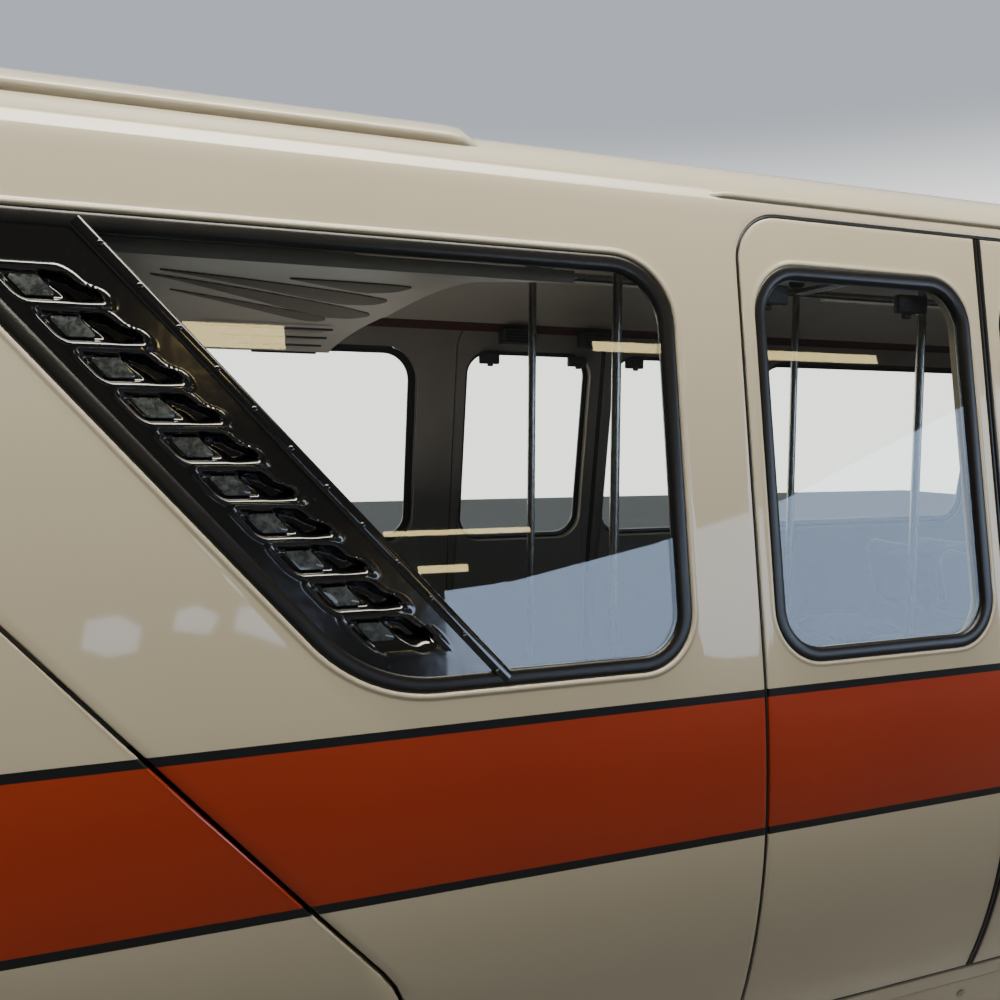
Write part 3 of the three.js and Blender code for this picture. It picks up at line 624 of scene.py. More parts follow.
def iron(name, colour, worn, roughness=0.5):
    """Satin underframe paint, dusty and worn through in spots."""
    f = Finish(name)
    grit = f.noise(7.0, 7.0, roughness=0.65)
    spots = f.noise(38.0, 5.0).step(0.62, 0.72)
    f.set("Base Color", f.mix(spots * 0.5, f.mix(grit.step(0.4, 0.75), colour, worn), (0.10, 0.055, 0.03)))
    f.set("Roughness", roughness + grit * 0.3)
    return f.bump(f.noise(60.0, 4.0), 0.0006).material


def floor_cover():
    """Speckled vinyl floor cover."""
    f = Finish("floor_vinyl")
    spots = f.node("ShaderNodeTexVoronoi", None, {"Vector": f.place(), "Scale": 140.0}, output="Color")
    shade = f.node("ShaderNodeSeparateXYZ", None, {0: spots}).step(0.7, 0.75)
    f.set("Base Color", f.mix(shade, (0.075, 0.077, 0.08), (0.19, 0.19, 0.185)))
    f.set("Roughness", 0.45 + f.noise(5.0, 4.0) * 0.2)
    return f.bump(f.noise(300.0, 2.0), 0.0003).material


def cloth():
    """Woven seat cover: warp and weft threads in a plain weave, with a heathered tone."""
    f = Finish("seat_cloth", sheen_weight=0.35, sheen_roughness=0.5)
    threads = 1150.0
    waves = []
    for letter in ("y", "z", "x"):
        waves.append((f.axis(letter) * threads).math("SINE"))
    weave = waves[0] * (waves[1] + waves[2])
    tone = f.noise(70.0, 4.0)
    f.set("Base Color", f.mix(tone.step(0.35, 0.7), (0.045, 0.068, 0.115), (0.075, 0.105, 0.16)))
    f.set("Roughness", 0.82 + tone * 0.12)
    return f.bump(weave * 0.5 + tone, 0.0006).material


def lamp(name, colour, strength):
    """A lamp lens that glows faintly, brighter towards a patchy middle."""
    f = Finish(name, roughness=0.08, coat_weight=1.0)
    f.set("Base Color", colour)
    glow = f.mix(f.noise(18.0, 2.0), colour, tuple(min(1.0, c * 1.25 + 0.05) for c in colour))
    f.set("Emission Color", glow)
    f.set("Emission Strength", strength)
    return f.bump(f.noise(160.0, 1.0), 0.0006).material


def mottled_glass():
    """Small dusty panes: dark grey green glass, mottled and water marked."""
    f = Finish("mottled_glass", coat_weight=1.0, coat_roughness=0.05)
    marks = f.noise(70.0, 6.0, roughness=0.7).step(0.42, 0.68)
    f.set("Base Color", f.mix(marks, (0.020, 0.024, 0.026), (0.062, 0.074, 0.074)))
    f.set("Roughness", 0.25 + marks * 0.4)
    return f.bump(marks, 0.0002).material


def vent_cloth():
    """Woven mesh over the air vents. Between its threads the colour is near black, a painted shade of the
    dark duct behind.
    """
    f = Finish("vent_mesh", roughness=0.8)
    threads = (f.axis("x") * 640.0).math("SINE") * (f.axis("y") * 640.0).math("SINE")
    # Where the threads part, the mesh is painted near black: painted shade of the duct behind, which is not
    # built.
    painted_hole_shade = threads.step(-0.15, 0.35)
    f.set("Base Color", f.mix(painted_hole_shade, (0.14, 0.118, 0.098), (0.016, 0.014, 0.012)))
    return f.bump(threads, 0.0006).material


def red_trim():
    f = Finish("red_trim", roughness=0.35)
    f.set("Base Color", f.mix(f.noise(8.0, 3.0), (0.060, 0.011, 0.007), (0.048, 0.009, 0.006)))
    return f.bump(f.noise(150.0, 2.0), 0.0002).material


PAINT = body_paint()
GLOSS_BLACK = gloss_black()
GASKET = rubber("window_rubber", (0.0065, 0.0062, 0.006), 0.30, 260.0, 0.25)
COVER_RUBBER = rubber("cover_rubber", (0.014, 0.014, 0.015), 0.6, 180.0)
TYRE = rubber("tyre_rubber", (0.018, 0.018, 0.019), 0.62, 140.0)
GLASS = glass("window_glass", (0.94, 0.955, 0.945))
LINING = panel("lining_panel", (0.185, 0.165, 0.145), (0.15, 0.134, 0.118))
CEILING = panel("ceiling_panel", (0.27, 0.24, 0.205), (0.23, 0.205, 0.175), 0.5, 60.0, 0.0003)
DARK_TRIM = panel("dark_trim", (0.018, 0.018, 0.019), (0.03, 0.029, 0.028), 0.45)
POLE_STEEL = metal("brushed_steel", (0.37, 0.365, 0.355), 0.20)
IRON = iron("underframe_paint", (0.022, 0.023, 0.025), (0.055, 0.05, 0.044))
HUB_PAINT = iron("hub_paint", (0.16, 0.16, 0.155), (0.08, 0.075, 0.07), 0.4)
FLOOR_COVER = floor_cover()
SEAT_CLOTH = cloth()
POCKET_GLASS = mottled_glass()
VENT_CLOTH = vent_cloth()
RED_TRIM = red_trim()
HEADLAMP = lamp("headlamp_lens", (0.75, 0.76, 0.72), 0.35)
TAIL_LAMP = lamp("tail_lamp_lens", (0.35, 0.012, 0.01), 0.25)
CEILING_LAMP = lamp("ceiling_lamp", (0.30, 0.27, 0.22), 0.12)


# The body's panels

# Edges of panels as (grow, depth): the bead round a window opening, the bead round a leaf's window
# and the rolled edge of a door opening.
WINDOW_BEAD = (
    (0.0165, 0.0), (0.0125, -0.0006), (0.0098, -0.0024), (0.0068, -0.0034), (0.0038, -0.0031),
    (0.0014, -0.0014), (0.0, 0.0010), (0.0, 0.0120), (0.0, 0.0350),
)
LEAF_BEAD = (
    (0.0270, 0.0), (0.0230, -0.0007), (0.0200, -0.0020), (0.0165, -0.0026), (0.0135, -0.0016),
    (0.0118, 0.0002), (0.0080, 0.0012), (0.0, 0.0015), (0.0, 0.0300),
)
OPENING_EDGE = ((0.0045, 0.0), (0.0014, 0.0013), (0.0, 0.0045), (0.0, 0.0300))
PANEL_EDGE = ((-0.0045, 0.0), (-0.0014, 0.0013), (0.0, 0.0045), (0.0, 0.0300))
PANE, PANE_INSET = (0.008, 0.018), 0.004
FINE = np.concatenate([[0, 0.02, 0.06], np.linspace(0.12, 1, 10)])
COARSE = np.linspace(0, 1, 3)
CELL_ROWS = TURN + 56


def moved(side, base, normals, grow, depth, taper, front=-9.0):
    """The outline base moved out by grow, and by taper's share of how far it lies inside the half
    width, but never ahead of front."""
    xz = base + normals * grow
    for _ in range(3 if taper else 0):
        reach = np.abs(skin(xz, side, depth)[:, 1]) - HALF_WIDTH
        xz = base + normals * (grow + taper * reach)[:, None]
    return np.stack([np.maximum(xz[:, 0], front), xz[:, 1]], axis=1)


def rings(side, base, normals, profile, taper=0.0, front=-9.0):
    """The outline's rings along a profile of (grow, depth), laid on the side."""
    return np.stack([skin(moved(side, base, normals, g, d, taper, front), side, d) for g, d in profile])


def between(side, start, end, shares, depth):
    """Rings on the side, in straight steps of the side view from one outline to another."""
    return np.stack([skin(start * (1 - f) + end * f, side, depth) for f in shares])


def wall_cell(shape, side, corners, quad, spans, profile, walls, taper, grow):
    """A part of the side round one opening: from the straight borders of quad to the opening's edge,
    through it, and back on the inside. walls are the borders that end the panel: 0 top, 1 rear,
    2 foot and 3 front."""
    base, normals = loop(corners, spans)
    base = base + normals * grow
    around = even_loop(quad, spans)
    front = quad[3][0] + 0.0006 if 3 in walls else -9.0
    first = moved(side, base, normals, *profile[0], taper, front)
    last = moved(side, base, normals, 0.0, WALL, taper, front)
    outer = between(side, around, first, FINE, 0.0)
    rim = rings(side, base, normals, (*profile, (0.0, WALL)), taper, front)
    inner = between(side, last, around, COARSE, WALL)
    whole = np.concatenate([outer[:-1], rim, inner[1:]])
    paint = (np.arange(len(whole) - 1) >= len(outer) + len(profile) - 2).astype(int)
    shape.grid(whole, wrap=(False, True), paint=paint[:, None])
    starts = TURN // 2 + np.concatenate([[0], np.cumsum(spans)])
    for edge in walls:
        along = np.arange(starts[edge], starts[edge + 1] + 1) % len(base)
        shape.grid(np.stack([outer[0][along], inner[-1][along]]), paint=1)


def add_side_wall(name, side):
    """One sheet per side with six openings, each in a cell of its own, welded to the next."""
    doors = [doorway(middle) for middle in DOORS.values()]
    cells = [
        # corners, edge, columns, taper, grow
        (CAB_DOOR, OPENING_EDGE, 44, CAB_TAPER, SEAM),
        (FRONT_WINDOW, WINDOW_BEAD, 44, 0.0, 0.0),
        (doors[0], OPENING_EDGE, 28, 0.0, 0.0),
        (CENTRE_WINDOW, WINDOW_BEAD, 28, 0.0, 0.0),
        (doors[1], OPENING_EDGE, 28, 0.0, 0.0),
        (REAR_WINDOW, WINDOW_BEAD, 24, 0.0, 0.0),
    ]
    posts = [(ahead[0][1][0] + behind[0][0][0]) / 2 for ahead, behind in zip(cells[1:], cells[2:])]
    heights = (ROOF_JOINT, SILL_UNDER)
    borders = [[x] * 2 for x in (NOSE_JOINT, *posts, BODY_END)]
    borders.insert(1, [cab_edge(z) + CAB_POST for z in heights])
    shape = Shape()
    for i, (corners, profile, columns, taper, grow) in enumerate(cells):
        ahead, behind = (list(zip(border, heights)) for border in borders[i:i + 2])
        walls = {0: (0, 2, 3), len(cells) - 1: (0, 1, 2)}.get(i, (0, 2))
        quad = (ahead[0], *behind, ahead[1])
        wall_cell(shape, side, corners, quad, (TURN + columns, CELL_ROWS) * 2, profile, walls, taper, grow)
    shape.make(f"{name}_side_panel", [PAINT, LINING], slot="body_paint", replaces=f"{name}_side_wall")


GASKET_BAND = (
    (-0.0003, 0.0060), (-0.0010, 0.0030), (-0.0040, 0.0010), (-0.0100, 0.0), (-0.0220, 0.0004),
    (-0.0300, 0.0020), (-0.0350, 0.0054), (-0.0362, 0.0079), (-0.0362, 0.0185), (-0.0330, 0.0230),
    (-0.0060, 0.0240), (-0.0003, 0.0210),
)
LEAF_GASKET_BAND = (
    (0.0114, 0.0010), (0.0108, -0.0012), (0.0080, -0.0026), (-0.0040, -0.0028), (-0.0130, -0.0018),
    (-0.0190, 0.0010), (-0.0225, 0.0055), (-0.0230, 0.0079), (-0.0230, 0.0185), (-0.0200, 0.0230),
    (-0.0030, 0.0235), (-0.0005, 0.0210), (-0.0005, 0.0016),
)
CAB_GASKET_BAND = tuple((grow * 0.55, depth) for grow, depth in GASKET_BAND)


def add_band(name, finish, side, outline, profile, body="root", sharp=60):
    """A moulded ring: a closed profile of (grow, depth) along an outline on the side."""
    Shape().grid(rings(side, *outline, profile), wrap=(True, True)).make(name, finish, body, sharp=sharp)


def add_window(name, side, corners, band, node, body="root"):
    """A pane, 10 mm thick and closed round a pole in its middle, in a moulded rubber ring."""
    outline = loop(corners, (TURN + 18,) * 4)
    ring = outline[0] - outline[1] * PANE_INSET
    pole = np.broadcast_to(ring.mean(axis=0), ring.shape)
    faces = (between(side, ring, pole, COARSE, depth) for depth in PANE)
    Shape().lens(*faces).make(f"{name}_pane", GLASS, body, "window_glass", node)
    if band:
        add_band(f"{name}_gasket", GASKET, side, outline, band, body)


def add_side_windows(name, side):
    """The fixed panes. The front one ends at the split line, while its ring goes on round the louvres."""
    top, foot = ((*end, 0.006) for end in SPLIT)
    add_window(f"{name}_front", side, (top, *FRONT_WINDOW[1:3], foot), None, f"{name}_front_glass")
    outline = loop(FRONT_WINDOW, (TURN + 30, TURN + 20, TURN + 14, TURN + 30))
    add_band(f"{name}_front_gasket", GASKET, side, outline, GASKET_BAND)
    for place, corners in {"centre": CENTRE_WINDOW, "rear": REAR_WINDOW}.items():
        add_window(f"{name}_{place}", side, corners, GASKET_BAND, f"{name}_{place}_glass")


def split_x(z):
    """x of the slanted line where the louvre panel meets the glass."""
    (x0, z0), (x1, z1) = SPLIT
    return x1 + (z - z1) * (x0 - x1) / (z0 - z1)


# Ten pockets down the louvre panel, the first at POCKET and each STEP after the last. A pocket is a
# leaning rounded box: a shallow shelf with a small pane ahead, a deep scoop behind.
POCKET, STEP, POCKETS = np.array([-2.659, 2.198]), np.array([0.068, -0.0737]), 10
POCKET_MIDDLE, POCKET_HALF, POCKET_CORNER = 0.0275, np.array([0.0695, 0.0290]), 0.016
SHELF, SCOOP = 0.011, 0.034


def eased_step(x, low, high):
    """0 below low, 1 above high, and a cubic between."""
    t = np.clip((x - low) / (high - low), 0, 1)
    return t * t * (3 - 2 * t)


def louvre_depth(x, z):
    """Depth of the louvre panel. It falls from a rounded rim into each pocket by the distance to a
    rounded box whose ends lean with the panel and whose rear end bends in an S."""
    depth = np.full_like(x, 0.0045)
    distance_out = np.full_like(x, 1.0)
    for k in range(POCKETS):
        centre = POCKET + STEP * k
        b = z - centre[1]
        a = x - centre[0] + b * SLANT - POCKET_MIDDLE
        a = a + 0.012 * np.tanh(b / 0.006) * np.clip(a / 0.03, 0, 1)
        qa, qb = np.abs(a) - (POCKET_HALF[0] - POCKET_CORNER), np.abs(b) - (POCKET_HALF[1] - POCKET_CORNER)
        outside = np.hypot(np.maximum(qa, 0), np.maximum(qb, 0))
        distance = outside + np.minimum(np.maximum(qa, qb), 0) - POCKET_CORNER
        well = SHELF + (SCOOP - SHELF) * eased_step(a, 0.004, 0.018)
        slope = 0.009 + 0.010 * eased_step(a, 0.02, 0.06)
        depth += well * eased_step(-distance, -0.001, slope)
        distance_out = np.minimum(distance_out, np.abs(distance - 0.006))
    return depth - 0.0026 * np.exp(-(distance_out / 0.005) ** 2)


def add_louvre_panel(name, side):
    """A sheet of rows from the opening's front edge to the split line, pressed by louvre_depth()."""
    rows, columns, inset = 210, 100, 0.030
    spans = (*[TURN + 20] * 3, TURN + rows)
    base, normals = loop(FRONT_WINDOW, spans)
    edge = np.roll(base - normals * inset, -sum(spans[:3]), axis=0)[:TURN * 2 + rows + 1]
    share = np.linspace(0, 1, columns)[None]
    z = np.repeat(edge[:, 1:], columns, axis=1)
    x = edge[:, :1] * (1 - share) + split_x(z) * share
    xz = np.stack([x, z], axis=-1)
    faces = [skin(xz, side, depth) for depth in (louvre_depth(x, z), 0.046)]
    borders = [np.concatenate([g[:-1, 0], g[-1, :-1], g[:0:-1, -1], g[0, :0:-1]]) for g in faces]
    sheet = Shape().grid(faces[0]).grid(np.stack(borders), wrap=(False, True)).fan(borders[1])
    node = f"{name}_louvre_panel"
    sheet.make(f"{name}_louvre_sheet", GLOSS_BLACK, slot="black_gloss", replaces=node, sharp=50)
    add_louvre_panes(name, side)
    add_louvre_strip(name, side)


def add_louvre_panes(name, side):
    """Ten small leaning panes on the sheet's shelves."""
    reach, half, corner = 0.027, 0.0195, 0.006
    lean = half * SLANT
    ends = ((-reach, 1), (reach, 1), (reach, -1), (-reach, -1))
    outline = [(x - lean * way, half * way, corner) for x, way in ends]
    ring, _ = loop(outline, (TURN + 4,) * 4)
    steps = ((0, 0.0118), (0.06, 0.0104), (0.5, 0.0100), (1, 0.0100))
    panes = Shape()
    for k in range(POCKETS):
        line = ring + POCKET + STEP * k
        rows = [(line * (1 - f) + line.mean(axis=0) * f, depth) for f, depth in steps]
        panes.lens(*(np.stack(face) for face in (
            [skin(row, side, depth) for row, depth in rows],
            [skin(row, side, 0.018) for row, _ in rows],
        )))
    panes.make(f"{name}_louvre_panes", POCKET_GLASS)


# The strip's section as (across, depth) and its screws' heads as (radius, depth).
STRIP = np.array([
    (-0.0140, 0.0040), (-0.0135, 0.0010), (-0.0115, -0.0012), (-0.0060, -0.0024), (0.0, -0.0028),
    (0.0060, -0.0024), (0.0115, -0.0012), (0.0135, 0.0010), (0.0140, 0.0040), (0.0135, 0.0070),
    (0.0, 0.0070), (-0.0135, 0.0070),
])
SCREW = np.array([
    (0.0062, -0.0010), (0.0060, -0.0042), (0.0045, -0.0052), (0.0025, -0.0054), (0.0012, -0.0040),
    (0.0, -0.0040),
])
SCREWS = 12


def add_louvre_strip(name, side):
    """The strip that clamps the sheet to the glass, with its screws."""
    start, end = np.array([-2.585, 2.3215]), np.array([-1.772, 1.4210])
    way = (end - start) / np.hypot(*(end - start))
    along = np.linspace(0, 1, 60)[:, None, None]
    xz = start * (1 - along) + end * along + np.array([-way[1], way[0]]) * STRIP[:, :1]
    strip = Shape().bar(skin(xz, side, STRIP[:, 1]))
    turn = np.stack(circle(14), axis=-1)
    for middle in np.linspace((-2.541, 2.280), (-1.800, 1.440), SCREWS):
        ring = middle + SCREW[:, :1, None] * turn
        strip.grid(skin(ring, side, SCREW[:, 1:]), wrap=(False, True)).fan(skin(ring[0], side, SCREW[0, 1]))
    strip.make(f"{name}_louvre_strip", GLOSS_BLACK, sharp=40)


# The seal in the seam round a doorway, and the one on a leaf's meeting edge as (from the middle, depth).
DOOR_SEAL = (
    (-0.0002, 0.0060), (-0.0010, 0.0030), (-0.0040, 0.0018), (-0.0070, 0.0030), (-0.0078, 0.0060),
    (-0.0078, 0.0560), (-0.0002, 0.0560),
)
EDGE_SEAL = np.array([
    (0.0126, 0.0020), (0.0110, -0.0006), (0.0070, -0.0014), (0.0030, -0.0006), (0.0008, 0.0016),
    (0.0006, 0.0060), (0.0006, 0.0560), (0.0126, 0.0560),
])
LEAF_WINDOW, LEAF_WINDOW_REACH = {"radius": 0.118, "top": 2.337, "foot": 1.402}, (0.064, 0.725)


def add_passenger_doors(name, side):
    """Two leaves a doorway: a panel with a window each, a rubber seal where they meet, and a black
    seal in the seam round them."""
    top, foot, small = DOOR_TOP - SEAM, DOOR_FOOT + SEAM, 0.004
    for door, middle in DOORS.items():
        outline = loop(doorway(middle), (TURN + 12, TURN + 36) * 2)
        add_band(f"{name}_{door}_seal", GASKET, side, outline, DOOR_SEAL)
        for leaf, way in {"a": -1, "b": 1}.items():
            piece = f"{name}_{door}_leaf_{leaf}"
            hole = window(*sorted(middle + way * reach for reach in LEAF_WINDOW_REACH), **LEAF_WINDOW)
            (x0, r0, f0), (x1, r1, f1) = sorted((
                (middle + way * (DOOR_HALF - SEAM), 0.125 - SEAM, 0.020 - SEAM),
                (middle + way * 0.0125, small, small),
            ))
            corners = ((x0, top, r0), (x1, top, r1), (x1, foot, f1), (x0, foot, f0))
            add_leaf(piece, side, corners, hole, LEAF_BEAD, LEAF_WALL)
            add_window(f"{piece}_window", side, hole, LEAF_GASKET_BAND, f"{name}_{door}_glass_{leaf}")
            z = np.linspace(foot + small, top - small, 60)[:, None]
            xz = np.stack(np.broadcast_arrays(middle + way * EDGE_SEAL[:, 0], z), axis=-1)
            Shape().bar(skin(xz, side, EDGE_SEAL[:, 1])).make(f"{piece}_edge_seal", GASKET, sharp=60)


def add_leaf(name, side, corners, hole, bead, depth, body="root", taper=0.0):
    """A door panel: round its edge, over its face to the window's bead, through, and back inside."""
    spans = (TURN + 16, TURN + 44) * 2
    base, normals = loop(corners, spans)
    window_base, window_normals = loop(hole, spans)
    edge = rings(side, base, normals, (*PANEL_EDGE, (0.0, depth)), taper)
    rim = rings(side, window_base, window_normals, (*bead, (0.0, depth)))
    start = moved(side, base, normals, *PANEL_EDGE[0], taper)
    face = between(side, start, window_base + window_normals * bead[0][0], np.linspace(0, 1, 11), 0.0)
    back = between(side, window_base, moved(side, base, normals, 0.0, depth, taper), COARSE, depth)
    whole = np.concatenate([edge[::-1][:-1], face, rim[1:], back[1:-1]])
    paint = np.zeros((len(whole), 1), int)
    paint[len(edge) - 1 + len(face) + len(rim) - 2:] = 1
    panel_shape = Shape().grid(whole, wrap=(True, True), paint=paint)
    panel_shape.make(f"{name}_panel", [PAINT, LINING], body, "body_paint", name)


HINGE = {"x": -3.616, "y": 1.294, "z": 1.415, "lean": 0.125, "heights": (0.960, 1.960), "radius": 0.009}


def hinge_point(side, z):
    """A point on the cab door's leaning hinge line."""
    return np.array([HINGE["x"], side * (HINGE["y"] - HINGE["lean"] * (z - HINGE["z"])), z])


def add_cab_door(name, side):
    """The cab door's leaf and window, its two hinges in halves, and its handle."""
    body = f"{name}_cab_door"
    add_leaf(body, side, CAB_DOOR, CAB_WINDOW, WINDOW_BEAD, WALL, body, CAB_TAPER)
    add_window(f"{name}_cab_window", side, CAB_WINDOW, CAB_GASKET_BAND, f"{name}_cab_glass", body)
    half, reach, gap, barrel = 0.025, 0.040, 0.003, 0.0088
    fixed, moving = Shape(), Shape()
    for z in HINGE["heights"]:
        tube(fixed, [hinge_point(side, z + t) for t in np.linspace(-half, half, 5)], barrel, 20)
        y = hinge_point(side, z)[1]
        ys = sorted((y - side * 0.060, y + side * 0.002))
        block(fixed, (-3.662, -3.6245), ys, (z - half + gap, z + half - gap), gap)
        for way in (-1, 1):
            ends = np.linspace(half + 0.0006, half + reach, 5) * way
            tube(moving, [hinge_point(side, z + t) for t in ends], barrel, 20)
            zs = sorted((z + way * (half + gap), z + way * (half + reach - gap)))
            block(moving, (-3.612, -3.576), ys, zs, gap)
    fixed.make(f"{name}_cab_hinge_fixed", PAINT, sharp=40)
    moving.make(f"{name}_cab_hinge_moving", PAINT, body, sharp=40)
    x, z = -2.185, 0.700
    bends = np.array([(-0.055, 0.002), (-0.045, -0.018), (0.0, -0.026), (0.045, -0.018), (0.055, 0.002)])
    path = skin(np.stack([x + bends[:, 0], np.full(len(bends), z)], axis=1), side, bends[:, 1])
    steps = np.linspace(0, 4, 25)
    handle = Shape()
    tube(handle, np.stack([np.interp(steps, range(5), path[:, k]) for k in range(3)], axis=1), 0.007, 12)
    handle.make(f"{name}_cab_door_handle", POLE_STEEL, body)


def both_sides(half):
    """Shares of the section up the left side and down the right, and the side of each."""
    side = np.concatenate([-np.ones(len(half)), np.ones(len(half) - 1)])
    return np.concatenate([half, half[-2::-1]]), side


def crosswise(start, count, power):
    """Shares of the section from the left start over the crown to the right start, with the side
    of each, closer near the starts where power is over 1."""
    t, side = both_sides(np.linspace(0, 1, count) ** power)
    return start[:, None] + (1 - start[:, None]) * t[None], side


def add_roof():
    xs = np.concatenate([np.linspace(NOSE_JOINT, -3.3, 12), np.linspace(-3.3, BODY_END, 24)[1:]])
    run, side = crosswise(run_at(xs, ROOF_JOINT), 50, 1.5)
    outer, inner = (hull(xs[:, None], run, side, d) for d in (0.0, WALL))
    Shape().slab(outer, inner, back=1).make("roof_panel", [PAINT, LINING], slot="body_paint", replaces="roof")
    add_hood()
    for name, way in SIDES.items():
        for door, middle in DOORS.items():
            add_drip_rail(f"{name}_{door}_drip_rail", way, middle)


def rolled(distance, radius):
    """0 at an edge and 1 from radius inwards, along a quarter of a circle."""
    return np.sqrt(1 - (1 - np.clip(distance / radius, 0, 1)) ** 2)


def add_hood():
    """The low hood over the front of the roof: the roof's own form raised by 22 mm, with rolled
    edges and a chamfered rear end."""
    xs = np.linspace(-3.56, -1.77, 50)
    start = run_at(xs, 2.562)
    run, side = crosswise(start, 44, 1.6)
    inside = np.minimum(run - start[:, None], 1) * SECTION_GIRTH
    ends = np.minimum(xs - xs[0], (xs[-1] - xs) * 0.5)[:, None]
    rise = 0.022 * rolled(inside, 0.012) * rolled(ends, 0.03)
    outer, inner = (hull(xs[:, None], run, side, depth) for depth in (0.001 - rise, 0.006))
    Shape().slab(outer, inner).make("roof_hood", PAINT, slot="body_paint", sharp=50)


def add_drip_rail(name, side, middle):
    """A small gutter above a doorway: a rounded bar that follows the shoulder, its ends run out."""
    half, seat = 0.852, 0.002
    section = np.array([
        # height, depth
        (2.500, seat), (2.502, -0.006), (2.507, -0.0095), (2.513, -0.0085), (2.517, -0.005), (2.519, seat),
        (2.517, 0.004), (2.507, 0.004),
    ])
    x = np.linspace(middle - half, middle + half, 70)[:, None]
    fade = eased_step(half - np.abs(x - middle), 0.0, 0.06)
    rise = section[:, 1]
    xz = np.stack(np.broadcast_arrays(x, section[:, 0]), axis=-1)
    rail = skin(xz, side, np.where(rise < seat, seat + (rise - seat) * fade, rise))
    Shape().bar(rail).make(name, PAINT, slot="body_paint", sharp=50)


def add_skirt(name, side):
    """The skirt: panels with thin joints between them, rolled at the top and the foot."""
    joints = [NOSE_JOINT + 0.001, -2.10, -0.62, 0.86, 2.34, 3.82, BODY_END - 0.001]
    panels = list(zip(joints, joints[1:]))
    bend, straight = np.array([0, 0.0015, 0.003, 0.006]), 8
    xs = []
    for a, b in panels:
        xs += [*(a + bend), *np.linspace(a + 0.02, b - 0.02, straight), *(b - bend[:0:-1])]
    xs = np.array(xs + joints[-1:])
    xs[0], xs[-1] = NOSE_JOINT, BODY_END
    sink = [0.0065, 0.0025, 0.0006, *[0.0] * (straight + 2), 0.0006, 0.0025] * len(panels) + [0.0065]
    rows = 20
    t = np.concatenate([[0, 0.004, 0.012], np.linspace(0.03, 0.99, rows), [0.9965, 1]])
    edge = np.concatenate([[0.008, 0.0022, 0.0004], np.zeros(rows), [0.0006, 0.0035]])
    run = run_at(xs, SILL_UNDER - 0.0003)[:, None] * t
    outer = hull(xs[:, None], run, side, np.maximum(np.array(sink)[:, None], edge))
    inner = hull(xs[:, None], run, side, SKIRT_WALL)
    skirt = Shape().slab(outer, inner, back=1)
    skirt.make(f"{name}_skirt_panel", [PAINT, IRON], slot="body_paint", replaces=f"{name}_skirt", sharp=40)
    latches, height = Shape(), 0.345
    for a, b in panels:
        for x in (a + 0.28, b - 0.28):
            normal = outward(x, run_at(x, height)) * [1, side, 1]
            stud(latches, skin(np.array([x, height]), side, -0.0005), normal, 0.014, 0.0025)
    latches.make(f"{name}_skirt_latches", POLE_STEEL)


# The nose

SCREEN_REAR, SCREEN_STEP, SCREEN_FRONT = -3.700, 1.600, (-5.100, 1.400)
SCREEN_MIDDLE = np.array([-4.25, 0.0])
_ahead = np.linspace(-5.4, -4.9, 500)
SCREEN_TIP = float(np.interp(SCREEN_FRONT[1], top_at(_ahead), _ahead))


def screen_border(count):
    """The right half of the windscreen's border as (x, run): level from the tip of the opening, then
    rising slowly to the rear corner, and round an arc of 80 mm into the upright rear edge."""
    radius = 0.080
    x = np.linspace(0, 1, count) ** 1.8 * (SCREEN_REAR - radius - SCREEN_TIP) + SCREEN_TIP
    climb = (SCREEN_STEP - SCREEN_FRONT[1]) / (SCREEN_REAR - SCREEN_FRONT[0])
    z = SCREEN_FRONT[1] + np.maximum(x - SCREEN_FRONT[0], 0) * climb
    angle = np.linspace(0, math.pi / 2, 9)[1:]
    x = np.concatenate([x, SCREEN_REAR - radius + radius * np.sin(angle)])
    z = np.concatenate([z, z[-1] + radius * (1 - np.cos(angle))])
    run = run_at(x, z)
    run[0] = 1.0
    return x, run


